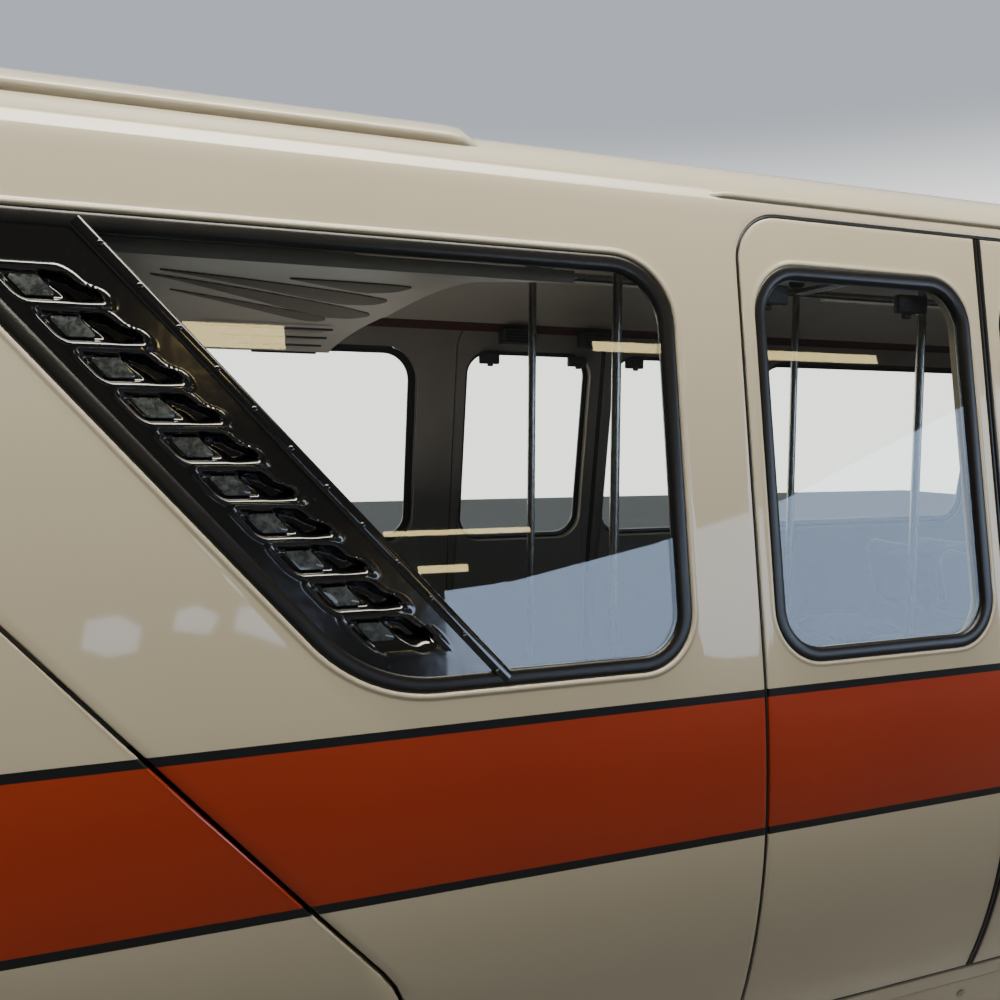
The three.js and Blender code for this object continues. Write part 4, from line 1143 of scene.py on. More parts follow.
def add_nose():
    """The shell round the nose: full rings ahead of the windscreen, two flanks below it, and full
    rings behind it. The front is closed by a domed cap, and the underside is open for the beam."""
    count, columns = 64, 60
    lower = np.linspace(0, 1, count) ** 0.9
    front_x = NOSE_TIP + (SCREEN_TIP - NOSE_TIP) * np.linspace(0, 1, 28)
    border_x, border_run = screen_border(columns)

    def wall_at(x):
        return np.interp(x, [NOSE_TIP, -5.455, -5.28], [0.012, 0.020, NOSE_WALL])

    shell = Shape()
    full, both = both_sides(lower)
    start = hull(front_x[:, None], full, both)
    within = front_x >= -5.4601
    inner_x = front_x[within]
    inner_start = hull(inner_x[:, None], full, both, wall_at(inner_x)[:, None])
    shell.grid(start).grid(inner_start, paint=1)
    rear_x = np.array([SCREEN_REAR, -3.68, -3.66, -3.645, -3.6345, -3.6305, NOSE_JOINT])
    rear_depth = np.array([0, 0, 0, 0, 0, 0.0008, 0.0035])
    corner_run = border_run[-1]
    upper = np.linspace(0, 1, 40)[1:]
    ring, ring_side = both_sides(np.concatenate([lower * corner_run, corner_run + (1 - corner_run) * upper]))
    depths = (rear_depth[:, None], NOSE_WALL)
    rear, inner_rear = (hull(rear_x[:, None], ring, ring_side, depth) for depth in depths)
    shell.grid(rear).grid(inner_rear, paint=1)
    edge = slice(count - 1, len(ring) - count + 1)
    for outer, inner in ((rear[-1], inner_rear[-1]), (rear[0, edge], inner_rear[0, edge])):
        shell.grid(np.stack([outer, inner]), paint=1)
    for side, foot in ((-1, 0), (1, -1)):
        run = border_run[:, None] * lower
        depths = (0.0, wall_at(border_x)[:, None])
        flank, inner_flank = (hull(border_x[:, None], run, side, depth) for depth in depths)
        shell.grid(flank).grid(inner_flank, paint=1)
        for outer, inner in (
            (flank[:, -1], inner_flank[:, -1]), (flank[:, 0], inner_flank[:, 0]),
            (rear[:, foot], inner_rear[:, foot]), (start[within][:, foot], inner_start[:, foot]),
        ):
            shell.grid(np.stack([outer, inner]), paint=1)

    # The cap over the nose's tip, and the floors of the cap and of the solid tip behind it.
    tip = start[0]
    middle_z = tip[:, 2].mean()
    dome = np.stack([
        np.stack([
            np.full(len(tip), NOSE_TIP - NOSE_CROWN * (1 - s * s)),
            tip[:, 1] * s,
            middle_z + (tip[:, 2] - middle_z) * s,
        ], axis=1)
        for s in np.linspace(1, 0, 14)
    ])
    shell.grid(dome)
    chin = start[front_x <= inner_x[0] + 1e-9]
    across = np.linspace(0, 1, 25)[:, None]
    back_ring = inner_start[0]
    chin_grid = ladder(chin[:, 0], chin[:, -1], across)
    shell.grid(chin_grid)
    shell.grid(ladder(dome[:, 0], dome[:, -1], across))
    shell.grid(ladder(back_ring[:count], back_ring[::-1][:count], across), paint=1)
    shell.grid(np.stack([chin_grid[-1], np.linspace(back_ring[0], back_ring[-1], 25)]), paint=1)
    finishes = [PAINT, DARK_TRIM]
    shell.make("nose_panel", finishes, slot="body_paint", replaces="nose_shell", sharp=40, weld=1e-4)
    add_windscreen()
    add_wipers()
    add_lamps()


def ladder(left, right, across):
    """A grid of straight rungs from each point of left to the same point of right."""
    return left[:, None] * (1 - across) + right[:, None] * across


def over(x, arc_length, depth=0.0):
    """The outer form at x and arc_length metres of section girth to the right of the crown."""
    side = np.where(arc_length < 0, -1.0, 1.0)
    return hull(x, 1 - np.abs(arc_length) / SECTION_GIRTH, side, depth)


def screen_loop():
    """The windscreen's border as a closed line of (x, arc length) and its outward normals."""
    x, run = screen_border(76)
    arc_length = (1 - run) * SECTION_GIRTH
    up = np.linspace(1, 0, 30)[1:]
    right = np.stack([
        np.concatenate([x, np.full(len(up), x[-1])]),
        np.concatenate([arc_length, arc_length[-1] * up]),
    ], axis=1)
    line = np.concatenate([right, right[-2:0:-1] * [1, -1]])
    closed = np.concatenate([line, line[:1]])
    length = np.concatenate([[0], np.cumsum(np.hypot(*np.diff(closed, axis=0).T))])
    even = np.linspace(0, length[-1], 321)[:-1]
    line = np.stack([np.interp(even, length, closed[:, k]) for k in (0, 1)], axis=1)
    way = np.roll(line, -1, axis=0) - np.roll(line, 1, axis=0)
    way /= np.hypot(*way.T)[:, None]
    normals = np.stack([way[:, 1], -way[:, 0]], axis=1)
    return line, normals * math.copysign(1, np.sum(normals * (line - SCREEN_MIDDLE)))


def add_windscreen():
    """The curved pane, its rubber ring and the dark printed border on its inside."""
    line, normals = screen_loop()

    def band(profile):
        lines = [(line + normals * grow, depth) for grow, depth in profile]
        return Shape().grid(np.stack([over(*points.T, depth) for points, depth in lines]), wrap=(True, True))

    shares = np.concatenate([[0, 0.02], np.linspace(0.06, 1, 13)])
    inset = line - normals * PANE_INSET
    lines = [(inset * (1 - f) + SCREEN_MIDDLE * f).T for f in shares]
    pane = Shape().lens(*(np.stack([over(*points, depth) for points in lines]) for depth in (0.005, 0.017)))
    pane.make("windscreen_pane", GLASS, slot="window_glass", replaces="windscreen")
    band((
        (-0.0005, 0.0090), (0.0, 0.0), (-0.004, -0.0022), (-0.012, -0.0030), (-0.020, -0.0010),
        (-0.024, 0.0049), (-0.024, 0.0180), (-0.0005, 0.0200),
    )).make("windscreen_gasket", GASKET, sharp=60)
    band((
        (-0.002, 0.0176), (-0.040, 0.0176), (-0.085, 0.0176), (-0.085, 0.0190), (-0.002, 0.0190),
    )).make("windscreen_border", DARK_TRIM)


def add_wipers():
    """Two wipers parked across the pane: an arm that arches from its spindle to a blade."""
    wipers = Shape()
    t = np.linspace(0, 1, 24)[:, None]
    b = np.linspace(-0.36, 0.36, 30)[:, None]
    for way in (-1, 1):
        foot, tip = np.array([-5.02, 0.20 * way]), np.array([-4.42, 0.72 * way])
        arch = -0.010 - 0.020 * np.sin(np.pi * t[:, 0])
        tube(wipers, over(*(foot * (1 - t) + tip * t).T, arch), 0.006, 10)
        spindle = over(*foot, -0.002)
        stud(wipers, spindle, spindle - over(*foot, 0.01), 0.020, 0.016)
        blade = tip + b * np.array([0.62, -0.78 * way])
        for points, depth, radius in ((blade, -0.003, 0.0055), (blade[4:-4], -0.011, 0.0035)):
            tube(wipers, over(*points.T, depth), radius, 8)
    wipers.make("windscreen_wipers", DARK_TRIM)


def add_lamps():
    """Head and tail lamps let into the nose below the stripe: a black bezel round each rounded lens."""
    bezel = (
        (0.016, 0.003), (0.014, -0.003), (0.009, -0.0055), (0.003, -0.005), (0.0, 0.0), (0.0, 0.012),
        (0.014, 0.012),
    )
    shares = np.linspace(0, 1, 8)
    for name, side in SIDES.items():
        for kind, x0, x1, finish in (("head", -5.425, -5.300, HEADLAMP), ("tail", -5.262, -5.160, TAIL_LAMP)):
            outline = loop(window(x0, x1, 0.036, 0.905, 0.800), (TURN + 6,) * 4)
            add_band(f"{name}_{kind}_lamp_bezel", GLOSS_BLACK, side, outline, bezel, sharp=50)
            base = outline[0]
            pole = np.broadcast_to(base.mean(axis=0), base.shape)
            domed = [(f, 0.002 - 0.006 * (1 - (1 - f) ** 2)) for f in shares]
            front = [skin(base * (1 - f) + pole * f, side, depth) for f, depth in domed]
            lens = Shape().lens(np.stack(front), between(side, base, pole, shares, 0.011))
            lens.make(f"{name}_{kind}_lamp", finish)


# The rear end

def add_end_cover():
    """The folded end cover, whose pleats swell and narrow as a cosine along the car."""
    corners = ((-1.010, 2.500, 0.260), (1.010, 2.500, 0.260), (1.080, 0.380, 0.120), (-1.080, 0.380, 0.120))
    base, normals = loop(corners, (TURN + 8, TURN + 10) * 2)
    folds, proud, inset = 4, 0.045, 0.034
    t = np.linspace(0, 1, 65)
    start = BODY_END + 0.0003
    x = start + (COVER_END - start) * t
    wave = np.abs(np.cos(np.pi * folds * t)) ** 1.4

    def pleats(grow):
        points = base + normals * grow[:, None, None]
        return np.insert(points, 0, x[:, None], axis=2)

    outer, inner = pleats(proud * wave), pleats((proud - 0.004) * wave * 0.6 - inset)
    cover = Shape().grid(outer, wrap=(False, True)).grid(inner, wrap=(False, True))
    for end in (0, -1):
        cover.grid(np.stack([outer[end], inner[end]]), wrap=(False, True))
    cover.make("end_cover_folds", COVER_RUBBER, slot="cover_rubber", replaces="end_cover", sharp=70)


def add_bulkhead():
    """The rear bulkhead, pressed round its door, with a grip. Its rows go up the straight wall and
    then on by even shares of the section to the crown."""
    straight = run_at(4.0, np.linspace(FLOOR_TOP + 0.001, 2.40, 40))
    run = np.concatenate([straight, np.linspace(straight[-1], 0.9995, 40)[1:]])
    edge = hull(4.0, run, 1, WALL + 0.0006)
    y = edge[:, 1:2] * np.linspace(-1, 1, 61)
    z = np.broadcast_to(edge[:, 2:3], y.shape)
    q = np.maximum(np.abs(y) - 0.36, np.abs(z - 1.43) - 0.95)
    door = eased_step(-q, 0.0, 0.012) * 0.018 - 0.010 * np.exp(-((q - 0.03) / 0.018) ** 2)
    face = np.stack([BODY_END - 0.012 - door, y, z], axis=-1)
    back = np.stack([np.full_like(y, BODY_END - WALL), y, z], axis=-1)
    bulk = Shape().slab(face, back)
    bulk.make("bulkhead_panel", LINING, slot="interior_panel", replaces="rear_bulkhead", sharp=40)
    a = np.linspace(0, math.pi, 20)
    grip = Shape()
    path = (BODY_END - 0.028 + 0.026 * np.sin(a), np.full(20, 0.30), 1.38 + 0.09 * np.cos(a))
    tube(grip, np.stack(path, axis=1), 0.009, 12)
    grip.make("bulkhead_door_grip", POLE_STEEL)


# The inside

def partition_x(z):
    """x of the slanted wall between the cab and the passengers."""
    return -1.640 - np.maximum(z - 1.080, 0) * SLANT


def lining_half(z, x=0.0):
    """Half width of the inside at height z."""
    return hull(x, run_at(x, z), 1, WALL)[..., 1]


def arched(y):
    """Height of the front ceiling's underside."""
    return 2.355 - 0.070 * (np.abs(y) / 1.05) ** 2.6


def add_ceiling():
    """Ceilings: a panel over the front seats with leaf-shaped woven vents, and the lining behind.
    The front panel's rear edge bends as in the photo, forwards on the left and rearwards on the right."""
    front, rear = -2.72, -1.745
    y = np.linspace(-1.05, 1.05, 71)[None]
    edge = rear + 0.075 * np.clip(1.0 - y, 0, 0.8) / 0.8 + 0.15 * eased_step(-y, 0.70, 1.0)
    x = front + (edge - front) * np.linspace(0, 1, 31)[:, None]
    under = np.stack(np.broadcast_arrays(x, y, arched(y)), axis=-1)
    Shape().slab(under + [0, 0, 0.030], under).make("front_ceiling", CEILING, slot="interior_panel", sharp=40)
    vents = Shape()
    for start, end, widest in (
        ((-2.114, -0.529), (-1.787, -0.390), 0.105), ((-2.438, -0.553), (-1.779, -0.059), 0.098),
        ((-2.464, -0.436), (-1.768, 0.298), 0.098), ((-2.413, -0.135), (-1.884, 0.410), 0.055),
    ):
        leaf_vent(vents, np.array(start), np.array(end), widest)
    vents.make("ceiling_vents", VENT_CLOTH, sharp=40)
    # Four near black bars under the front ceiling stand for its air slits: their colour is painted shade of
    # the slits' insides.
    slits = Shape()
    for k in range(4):
        y0, low = 0.50 + 0.14 * k, 2.322 - 0.018 * k
        block(slits, (-2.30 + 0.07 * k, -1.82), (y0, y0 + 0.022), (low, low + 0.008), 0.003)
    slits.make("ceiling_slits", DARK_TRIM)
    y = np.linspace(-1, 1, 49)[None]
    x = np.linspace(rear + 0.02, BODY_END - WALL - 0.005, 16)[:, None]
    under = np.stack(np.broadcast_arrays(x, 1.02 * y, 2.648 - 0.20 * np.abs(y) ** 3.2), axis=-1)
    Shape().slab(under + [0, 0, 0.012], under).make("saloon_ceiling", CEILING, slot="interior_panel")
    lamps = Shape()
    for side in SIDES.values():
        for x0 in (-1.2, 0.6, 2.4):
            block(lamps, (x0, x0 + 1.45), (side * 0.60, side * 0.66), (2.588, 2.612), 0.008)
    lamps.make("ceiling_lamps", CEILING_LAMP, sharp=40)


def leaf_vent(shape, start, end, widest):
    """A vent shaped like a leaf under the ceiling: pointed at its start and blunt at its end."""
    length = np.hypot(*(end - start))
    way = (end - start) / length
    t = np.linspace(0, 1, 50)[:, None]
    s = np.linspace(-1, 1, 11)[None]
    blunt = np.sqrt(np.clip(1 - np.clip((t - 0.90) / 0.10, 0, 1) ** 2, 0, 1))
    half = widest * np.clip(t / 0.75, 0, 1) ** 0.8 * blunt + 0.0006
    place = start + way * (t * length)[..., None] + np.array([-way[1], way[0]]) * (half * s)[..., None]
    ceiling = arched(place[..., 1:])
    dip = 0.0035 + 0.005 * (1 - s * s) * np.sqrt(half / (widest + 0.0006))
    low, high = (np.concatenate([place, ceiling + rise], axis=-1) for rise in (-dip[..., None], 0.004))
    shape.slab(low, high)


def add_fittings():
    """Small things on the inner walls: dark latch boxes over the leaves' windows, air nozzles by the
    doorways, and the red line over the windows."""
    boxes = Shape()

    def box(side, x, xs, y, ys, zs, bevel):
        reach = sorted(side * (y + part) for part in ys)
        block(boxes, [x + part for part in xs], reach, zs, bevel)

    for side in SIDES.values():
        for middle in DOORS.values():
            y = float(lining_half(2.30)) - 0.014
            for x in (-0.62, -0.16, 0.16, 0.62):
                box(side, middle + x, (-0.050, 0.050), y, (-0.016, 0.008), (2.262, 2.312), 0.006)
                box(side, middle + x, (-0.014, 0.014), y, (-0.024, -0.012), (2.250, 2.275), 0.004)
            y = float(lining_half(2.40)) - 0.030
            for x in (-0.46, -0.05):
                box(side, middle + x, (-0.12, 0.04), y, (-0.060, 0.02), (2.350, 2.425), 0.012)
                for z in 2.357 + 0.0145 * np.arange(5):
                    box(side, middle + x, (-0.112, 0.032), y, (-0.070, -0.058), (z, z + 0.005), 0.002)
    boxes.make("window_latches", DARK_TRIM, sharp=40)
    section = np.array([
        # height, depth
        (2.425, 0.075), (2.430, 0.078), (2.470, 0.078), (2.475, 0.075), (2.475, 0.066), (2.425, 0.066),
    ])
    xz = np.stack(np.broadcast_arrays(np.linspace(-2.6, 5.2, 60)[:, None], section[:, 0]), axis=-1)
    lines = Shape()
    for side in SIDES.values():
        lines.bar(skin(xz, side, section[:, 1]))
    lines.make("inner_red_lines", RED_TRIM, sharp=40)


POLES = {"side": 0.363, "reach": 0.638, "shift": -0.050, "radius": 0.016, "rail": 2.600, "top": 2.668}


def add_poles():
    """Grab poles at the corners of each doorway's standing space, joined by rails at the ceiling,
    with a collar at the floor and a black cup at the top of each."""
    poles, cups = Shape(), Shape()
    xs = [middle + POLES["shift"] + way * POLES["reach"] for middle in DOORS.values() for way in (-1, 1)]
    ys = (-POLES["side"], POLES["side"])
    r, low, rail_z = POLES["radius"], FLOOR_TOP + 0.0004, POLES["rail"] - 0.035
    pole = [
        (0, low), (0.038, low), (0.038, FLOOR_TOP + 0.004), (0.024, FLOOR_TOP + 0.012),
        (r, FLOOR_TOP + 0.016), (r, 2.660), (0, 2.664),
    ]
    cup = [(0, 2.668), (0.034, 2.668), (0.034, 2.600), (0.028, 2.590), (0.0185, 2.588), (0.0175, 2.600)]
    for x in xs:
        for y in ys:
            turned(poles, pole, (x, y, 0), "z", 32)
            turned(cups, cup, (x, y, 0), "z", 32)
    rail = [(0, xs[0]), (r * 0.9, xs[0]), (r, xs[0] + 0.002), (r, xs[-1] - 0.002), (0, xs[-1])]
    for y in ys:
        turned(poles, rail, (0, y, rail_z), "x", 24)
    cross_rail = [(0, ys[0]), (r, ys[0] + 0.001), (r, ys[1] - 0.001), (0, ys[1])]
    for x in xs:
        turned(poles, cross_rail, (x, 0, rail_z), "y", 24)
    poles.make("grab_pole_tubes", POLE_STEEL, slot="pole_steel", replaces="grab_poles", sharp=50)
    cups.make("grab_pole_cups", DARK_TRIM, sharp=50)


def pillow(centre, half, lean, power=0.32):
    """A crowned cushion: a superellipsoid, whose sines and cosines are raised to power, leaned
    about the crosswise axis."""
    u = np.linspace(0, 2 * math.pi, 72, endpoint=False)[None]
    v = np.linspace(-math.pi / 2, math.pi / 2, 37)[:, None]

    def bent(t, p):
        return np.sign(t) * np.abs(t) ** p

    x = half[0] * bent(np.cos(v), power) * bent(np.cos(u), power)
    y = half[1] * bent(np.cos(v), power) * bent(np.sin(u), power)
    z = half[2] * bent(np.sin(v), 0.55) + 0 * u
    c, s = math.cos(lean), math.sin(lean)
    return np.stack([c * x + s * z, y, -s * x + c * z], axis=-1) + np.array(centre)


def add_cushion(name, centre, half, lean=0.0):
    """A padded seat part: the pillow, remeshed and blown up as cloth."""
    cushion = Shape().grid(pillow(centre, half, lean), wrap=(False, True)).make(name, SEAT_CLOTH, weld=1e-4)
    swell(cushion)


def point_array(mesh):
    points = np.empty(len(mesh.vertices) * 3, np.float32)
    mesh.vertices.foreach_get("co", points)
    return points.reshape(-1, 3)


def swell(piece, voxel=0.016, cap=0.024):
    """Voxel remesh, then cloth under pressure without gravity, its movement held to cap."""
    remesh = piece.modifiers.new("remesh", "REMESH")
    remesh.mode, remesh.voxel_size = "VOXEL", voxel
    apply_all(piece)
    rest = point_array(piece.data)
    settings = piece.modifiers.new("cloth", "CLOTH").settings
    settings.use_pressure = True
    settings.uniform_pressure_force = 4.0
    settings.effector_weights.gravity = 0.0
    scene = bpy.context.scene
    for step in range(1, 21):
        scene.frame_set(step)
    apply_all(piece)
    scene.frame_set(1)
    move = point_array(piece.data) - rest
    length = np.linalg.norm(move, axis=1, keepdims=True)
    held = rest + move * np.minimum(1, cap / np.maximum(length, 1e-9))
    piece.data.vertices.foreach_set("co", held.astype(np.float32).ravel())
    piece.data.shade_smooth()


def apply_all(piece):
    """Replaces the piece's mesh by what its modifiers make of it."""
    depsgraph = bpy.context.evaluated_depsgraph_get()
    made = bpy.data.meshes.new_from_object(piece.evaluated_get(depsgraph))
    materials = [slot.material for slot in piece.material_slots]
    piece.modifiers.clear()
    piece.data = made
    if not made.materials:
        for material in materials:
            made.materials.append(material)


def ridge(outline, corner, extra, reach, steps, sink):
    """A moulded block whose side-view outline runs across the car from -reach to reach. steps and
    sink say how it rounds at each end: how far in, and how far towards its middle as a share."""
    line, _ = loop([(*p, corner) for p in outline], (TURN + extra,) * len(outline))
    middle = line.mean(axis=0)
    ys = np.concatenate([np.array(steps) - reach, reach - np.array(steps[::-1])])
    rows = [np.insert(line + (middle - line) * s, 1, y, axis=1) for y, s in zip(ys, (*sink, *sink[::-1]))]
    return Shape().bar(np.stack(rows))


# Side-view outlines of the benches, (x, z) from the foot up, and the place of the centre one's middle.
FOOT = FLOOR_TOP + 0.0005
BENCH_MIDDLE = 1.412
HALF_BENCH = [(-0.500, FOOT), (-0.560, 0.840), (-0.570, 0.862), (-0.150, 0.862), (-0.070, 1.000)]
BENCHES = {
    "front_bench": [
        (-1.640, FOOT), (-1.200, FOOT), (-1.160, 0.840), (-1.150, 0.862), (-1.560, 0.862), (-1.636, 1.000),
    ],
    "centre_bench": [(BENCH_MIDDLE + way * x, z) for way in (1, -1) for x, z in HALF_BENCH[::way]],
    "rear_bench": [
        (4.180, FOOT), (4.145, 0.840), (4.140, 0.862), (4.640, 0.862), (4.760, 1.000), (4.900, 1.000),
        (4.900, FOOT),
    ],
}
SEATS = {
    # seat x, half length, back x, lean
    "front": (-1.340, 0.225, -1.705, -0.53),
    "centre_ahead": (BENCH_MIDDLE - 0.460, 0.235, BENCH_MIDDLE - 0.125, -0.28),
    "centre_behind": (BENCH_MIDDLE + 0.460, 0.235, BENCH_MIDDLE + 0.125, 0.28),
    "rear": (4.370, 0.250, 4.700, 0.28),
}
SEAT_Z, BACK_Z, SEAT_PITCH = 0.905, 1.185, 0.512


def add_seats():
    """Benches: a moulded base each, with padded seats and backs for four people abreast."""
    for node, outline in BENCHES.items():
        base = ridge(outline, 0.012, 1, 1.040, (0, 0.004, 0.012), (0.04, 0.01, 0.0))
        base.make(f"{node}_base", LINING, slot="seat_cover", replaces=node, sharp=40)
    for name, (seat_x, reach, back_x, lean) in SEATS.items():
        for k in range(4):
            y = (k - 1.5) * SEAT_PITCH
            add_cushion(f"{name}_seat_{k + 1}", (seat_x, y, SEAT_Z), (reach - 0.012, 0.242, 0.030))
            add_cushion(f"{name}_seat_back_{k + 1}", (back_x, y, BACK_Z), (0.030, 0.242, 0.205), lean)


def add_cab():
    """The driver's desk, with its hooded panel, levers and screens, and the padded seat on its post."""
    outline = [(-4.760, FOOT), (-4.330, FOOT), (-4.330, 1.090), (-4.420, 1.228), (-4.760, 1.180)]
    desk = ridge(outline, 0.020, 3, 0.640, (0, 0.004, 0.015), (0.06, 0.015, 0.0))
    block(desk, (-4.350, -3.330), (-0.330, 0.330), (FOOT, 0.520), 0.010)
    post = [(0, 0.515), (0.110, 0.515), (0.110, 0.530), (0.070, 0.545), (0.062, 0.770), (0.0, 0.770)]
    turned(desk, post, (-3.640, 0, 0), "z", 40)
    block(desk, (-3.880, -3.460), (-0.225, 0.225), (0.752, 0.790), 0.014)
    desk.make("driver_desk", DARK_TRIM, slot="interior_panel", replaces="cab_desk", sharp=40)
    dials = Shape()
    for y in (-0.36, -0.12, 0.12, 0.36):
        block(dials, (-4.412, -4.400), (y - 0.085, y + 0.085), (1.115, 1.205), 0.004)
    for y in (0.48, -0.48):
        tube(dials, [(-4.39, y, 1.10), (-4.375, y, 1.16), (-4.36, y, 1.23)], 0.010, 12)
    dials.make("desk_screens_and_levers", GLOSS_BLACK, sharp=40)
    add_cushion("driver_seat", (-3.675, 0, 0.825), (0.195, 0.218, 0.034))
    add_cushion("driver_seat_back", (-3.425, 0, 1.190), (0.034, 0.215, 0.285), 0.16)
    add_cab_wall()


def add_cab_wall():
    """The slanted wall behind the driver, with its door pressed into the passengers' side."""
    z = np.array([FLOOR_TOP + 0.001, *np.linspace(0.6, 1.06, 8), 1.075, 1.085, *np.linspace(1.11, 2.66, 34)])
    x = partition_x(z)[:, None]
    y = (lining_half(z, x[:, 0]) - 0.002)[:, None] * np.linspace(-1, 1, 41)
    z = z[:, None]
    q = np.maximum(np.abs(y) - 0.33, np.abs(z - 1.30) - 0.80)
    fronts = (x - 0.001 - 0.008 * eased_step(-q, 0, 0.01), x - 0.050)
    face, back = (np.stack(np.broadcast_arrays(front, y, z), axis=-1) for front in fronts)
    wall = Shape().slab(face, back)
    wall.make("cab_wall_panel", LINING, slot="interior_panel", replaces="cab_wall", sharp=40)


def add_floor():
    """Floor cover: a speckled sheet over the floor between the walls, raised a little off the plate,
    with coved edges."""
    x = np.linspace(-4.9, BODY_END - WALL - 0.002, 36)[:, None]
    share = np.linspace(-1, 1, 41)[None]
    y = (lining_half(FLOOR_TOP + 0.003, x) - 0.002) * share
    cove = 0.0035 + 0.020 * np.clip((np.abs(share) - 0.985) / 0.015, 0, 1) ** 2
    top, foot = (np.stack(np.broadcast_arrays(x, y, FLOOR_TOP + rise), axis=-1) for rise in (cove, 0.0002))
    Shape().slab(top, foot).make("floor_cover", FLOOR_COVER, sharp=40)


# Running gear

LOAD_TYRE_WIDTH = (0.026, 0.305)


def load_wheel_profile():
    """Half of a load tyre's section as (radius, y): the sidewalls and a tread with five ribs."""
    inner, outer = LOAD_TYRE_WIDTH
    wall = [(0.306, 0.014), (0.330, 0.010), (0.380, 0.002), (0.440, 0.0), (0.468, 0.004), (0.488, 0.020)]
    rib = [(0.4865, 0.0001), (0.499, 0.004), (0.500, 0.008)]
    edges = np.linspace(inner + 0.050, outer - 0.050, 6)
    tread = []
    for a, b in zip(edges, edges[1:]):
        tread += [*((r, a + y) for r, y in rib), *((r, b - y) for r, y in rib[::-1])]
    return [*((r, inner + y) for r, y in wall), *tread, *((r, outer - y) for r, y in wall[::-1])]


RIM = [
    # radius, y
    (0.0, 0.374), (0.044, 0.374), (0.045, 0.372), (0.045, 0.280), (0.052, 0.278), (0.118, 0.277),
    (0.124, 0.262), (0.200, 0.252), (0.270, 0.240), (0.296, 0.252), (0.297, 0.297), (0.311, 0.3005),
    (0.311, 0.288), (0.3045, 0.284), (0.3045, 0.046), (0.311, 0.042), (0.311, 0.032), (0.297, 0.034),
    (0.290, 0.060), (0.120, 0.066), (0.116, 0.060), (0.116, 0.0),
]
AXLE_Z = 0.500


def mirrored(profile, side):
    """A profile of (radius, y) on one side of the car."""
    return [(r, side * y) for r, y in profile]


def add_wheels(name, x):
    """A load axle's two tyres, and its rims and hubs with ten bolts each."""
    body = f"{name}_load_wheels"
    centre = np.array([x, 0, AXLE_Z])
    tyres, rims = Shape(), Shape()
    section = load_wheel_profile()
    for side in SIDES.values():
        turned(tyres, mirrored(section + section[:1], side), centre, "y", 96)
        turned(rims, mirrored(RIM, side), centre, "y", 96)
        for cosine, sine in zip(*circle(10)):
            at = centre + [0.165 * cosine, side * 0.2565, 0.165 * sine]
            stud(rims, at, np.array([0, side, 0]), 0.013, 0.012, 6)
    rims.make(f"{name}_load_rims", HUB_PAINT, body, sharp=40)
    tyres.make(f"{name}_load_tyres", TYRE, body, "wheel_tyre", body, sharp=40)


def add_guide_wheel(node, centre):
    """A guide wheel: a solid tyre with a crowned, grooved tread on a painted hub with six bolts."""
    half, radius = 0.065, 0.200
    rib = [(radius - 0.007, 0), (radius - 0.0006, 0.002), (radius, 0.006)]
    wall = [(0.142, 0.014), (0.165, 0.002), (0.180, 0), (0.192, 0.006)]
    tread = []
    for a, b in ((-0.045, -0.016), (-0.013, 0.013), (0.016, 0.045)):
        tread += [*((r, a + y) for r, y in rib), *((r, b - y) for r, y in rib[::-1])]
    tyre = [*((r, y - half) for r, y in wall), *tread, *((r, half - y) for r, y in wall[::-1])]
    wheel = turned(Shape(), tyre + tyre[:1], centre, "z", 56)
    wheel.make(f"{node}_tyre", TYRE, node, "wheel_tyre", node, sharp=40)
    below = [(0, 0.021), (0.060, 0.021), (0.062, 0.026), (0.128, 0.030), (0.134, 0.016), (0.1435, 0.014)]
    above = [
        (0.1435, -0.014), (0.134, -0.012), (0.128, -0.020), (0.092, -0.012), (0.074, 0.010),
        (0.070, 0.0235), (0.066, 0.025), (0, 0.025),
    ]
    hub = [*((r, y - half) for r, y in below), *((r, y + half) for r, y in above)]
    body = turned(Shape(), hub, centre, "z", 48)
    for cosine, sine in zip(*circle(6)):
        for reach, rise, way, height in ((0.105, half - 0.0155, 1, 0.010), (0.095, 0.028 - half, -1, 0.009)):
            at = np.array(centre) + [reach * cosine, reach * sine, rise]
            stud(body, at, np.array([0, 0, way]), 0.010, height, 6)
    body.make(f"{node}_hub", HUB_PAINT, node, sharp=40)


SPRING_Y, HANGER_REACH = 0.530, 0.450
CAP = [(0.046, 0.3625), (0.085, 0.3625), (0.088, 0.366), (0.088, 0.3725), (0.080, 0.3755), (0.0478, 0.3755)]
HANGER_RINGS = (
    [(0.043, 0.092), (0.078, 0.092), (0.078, 0.076), (0.060, 0.070), (0.043, 0.030)],
    [(0.043, -0.040), (0.060, -0.044), (0.062, -0.0575), (0.043, -0.0575)],
)


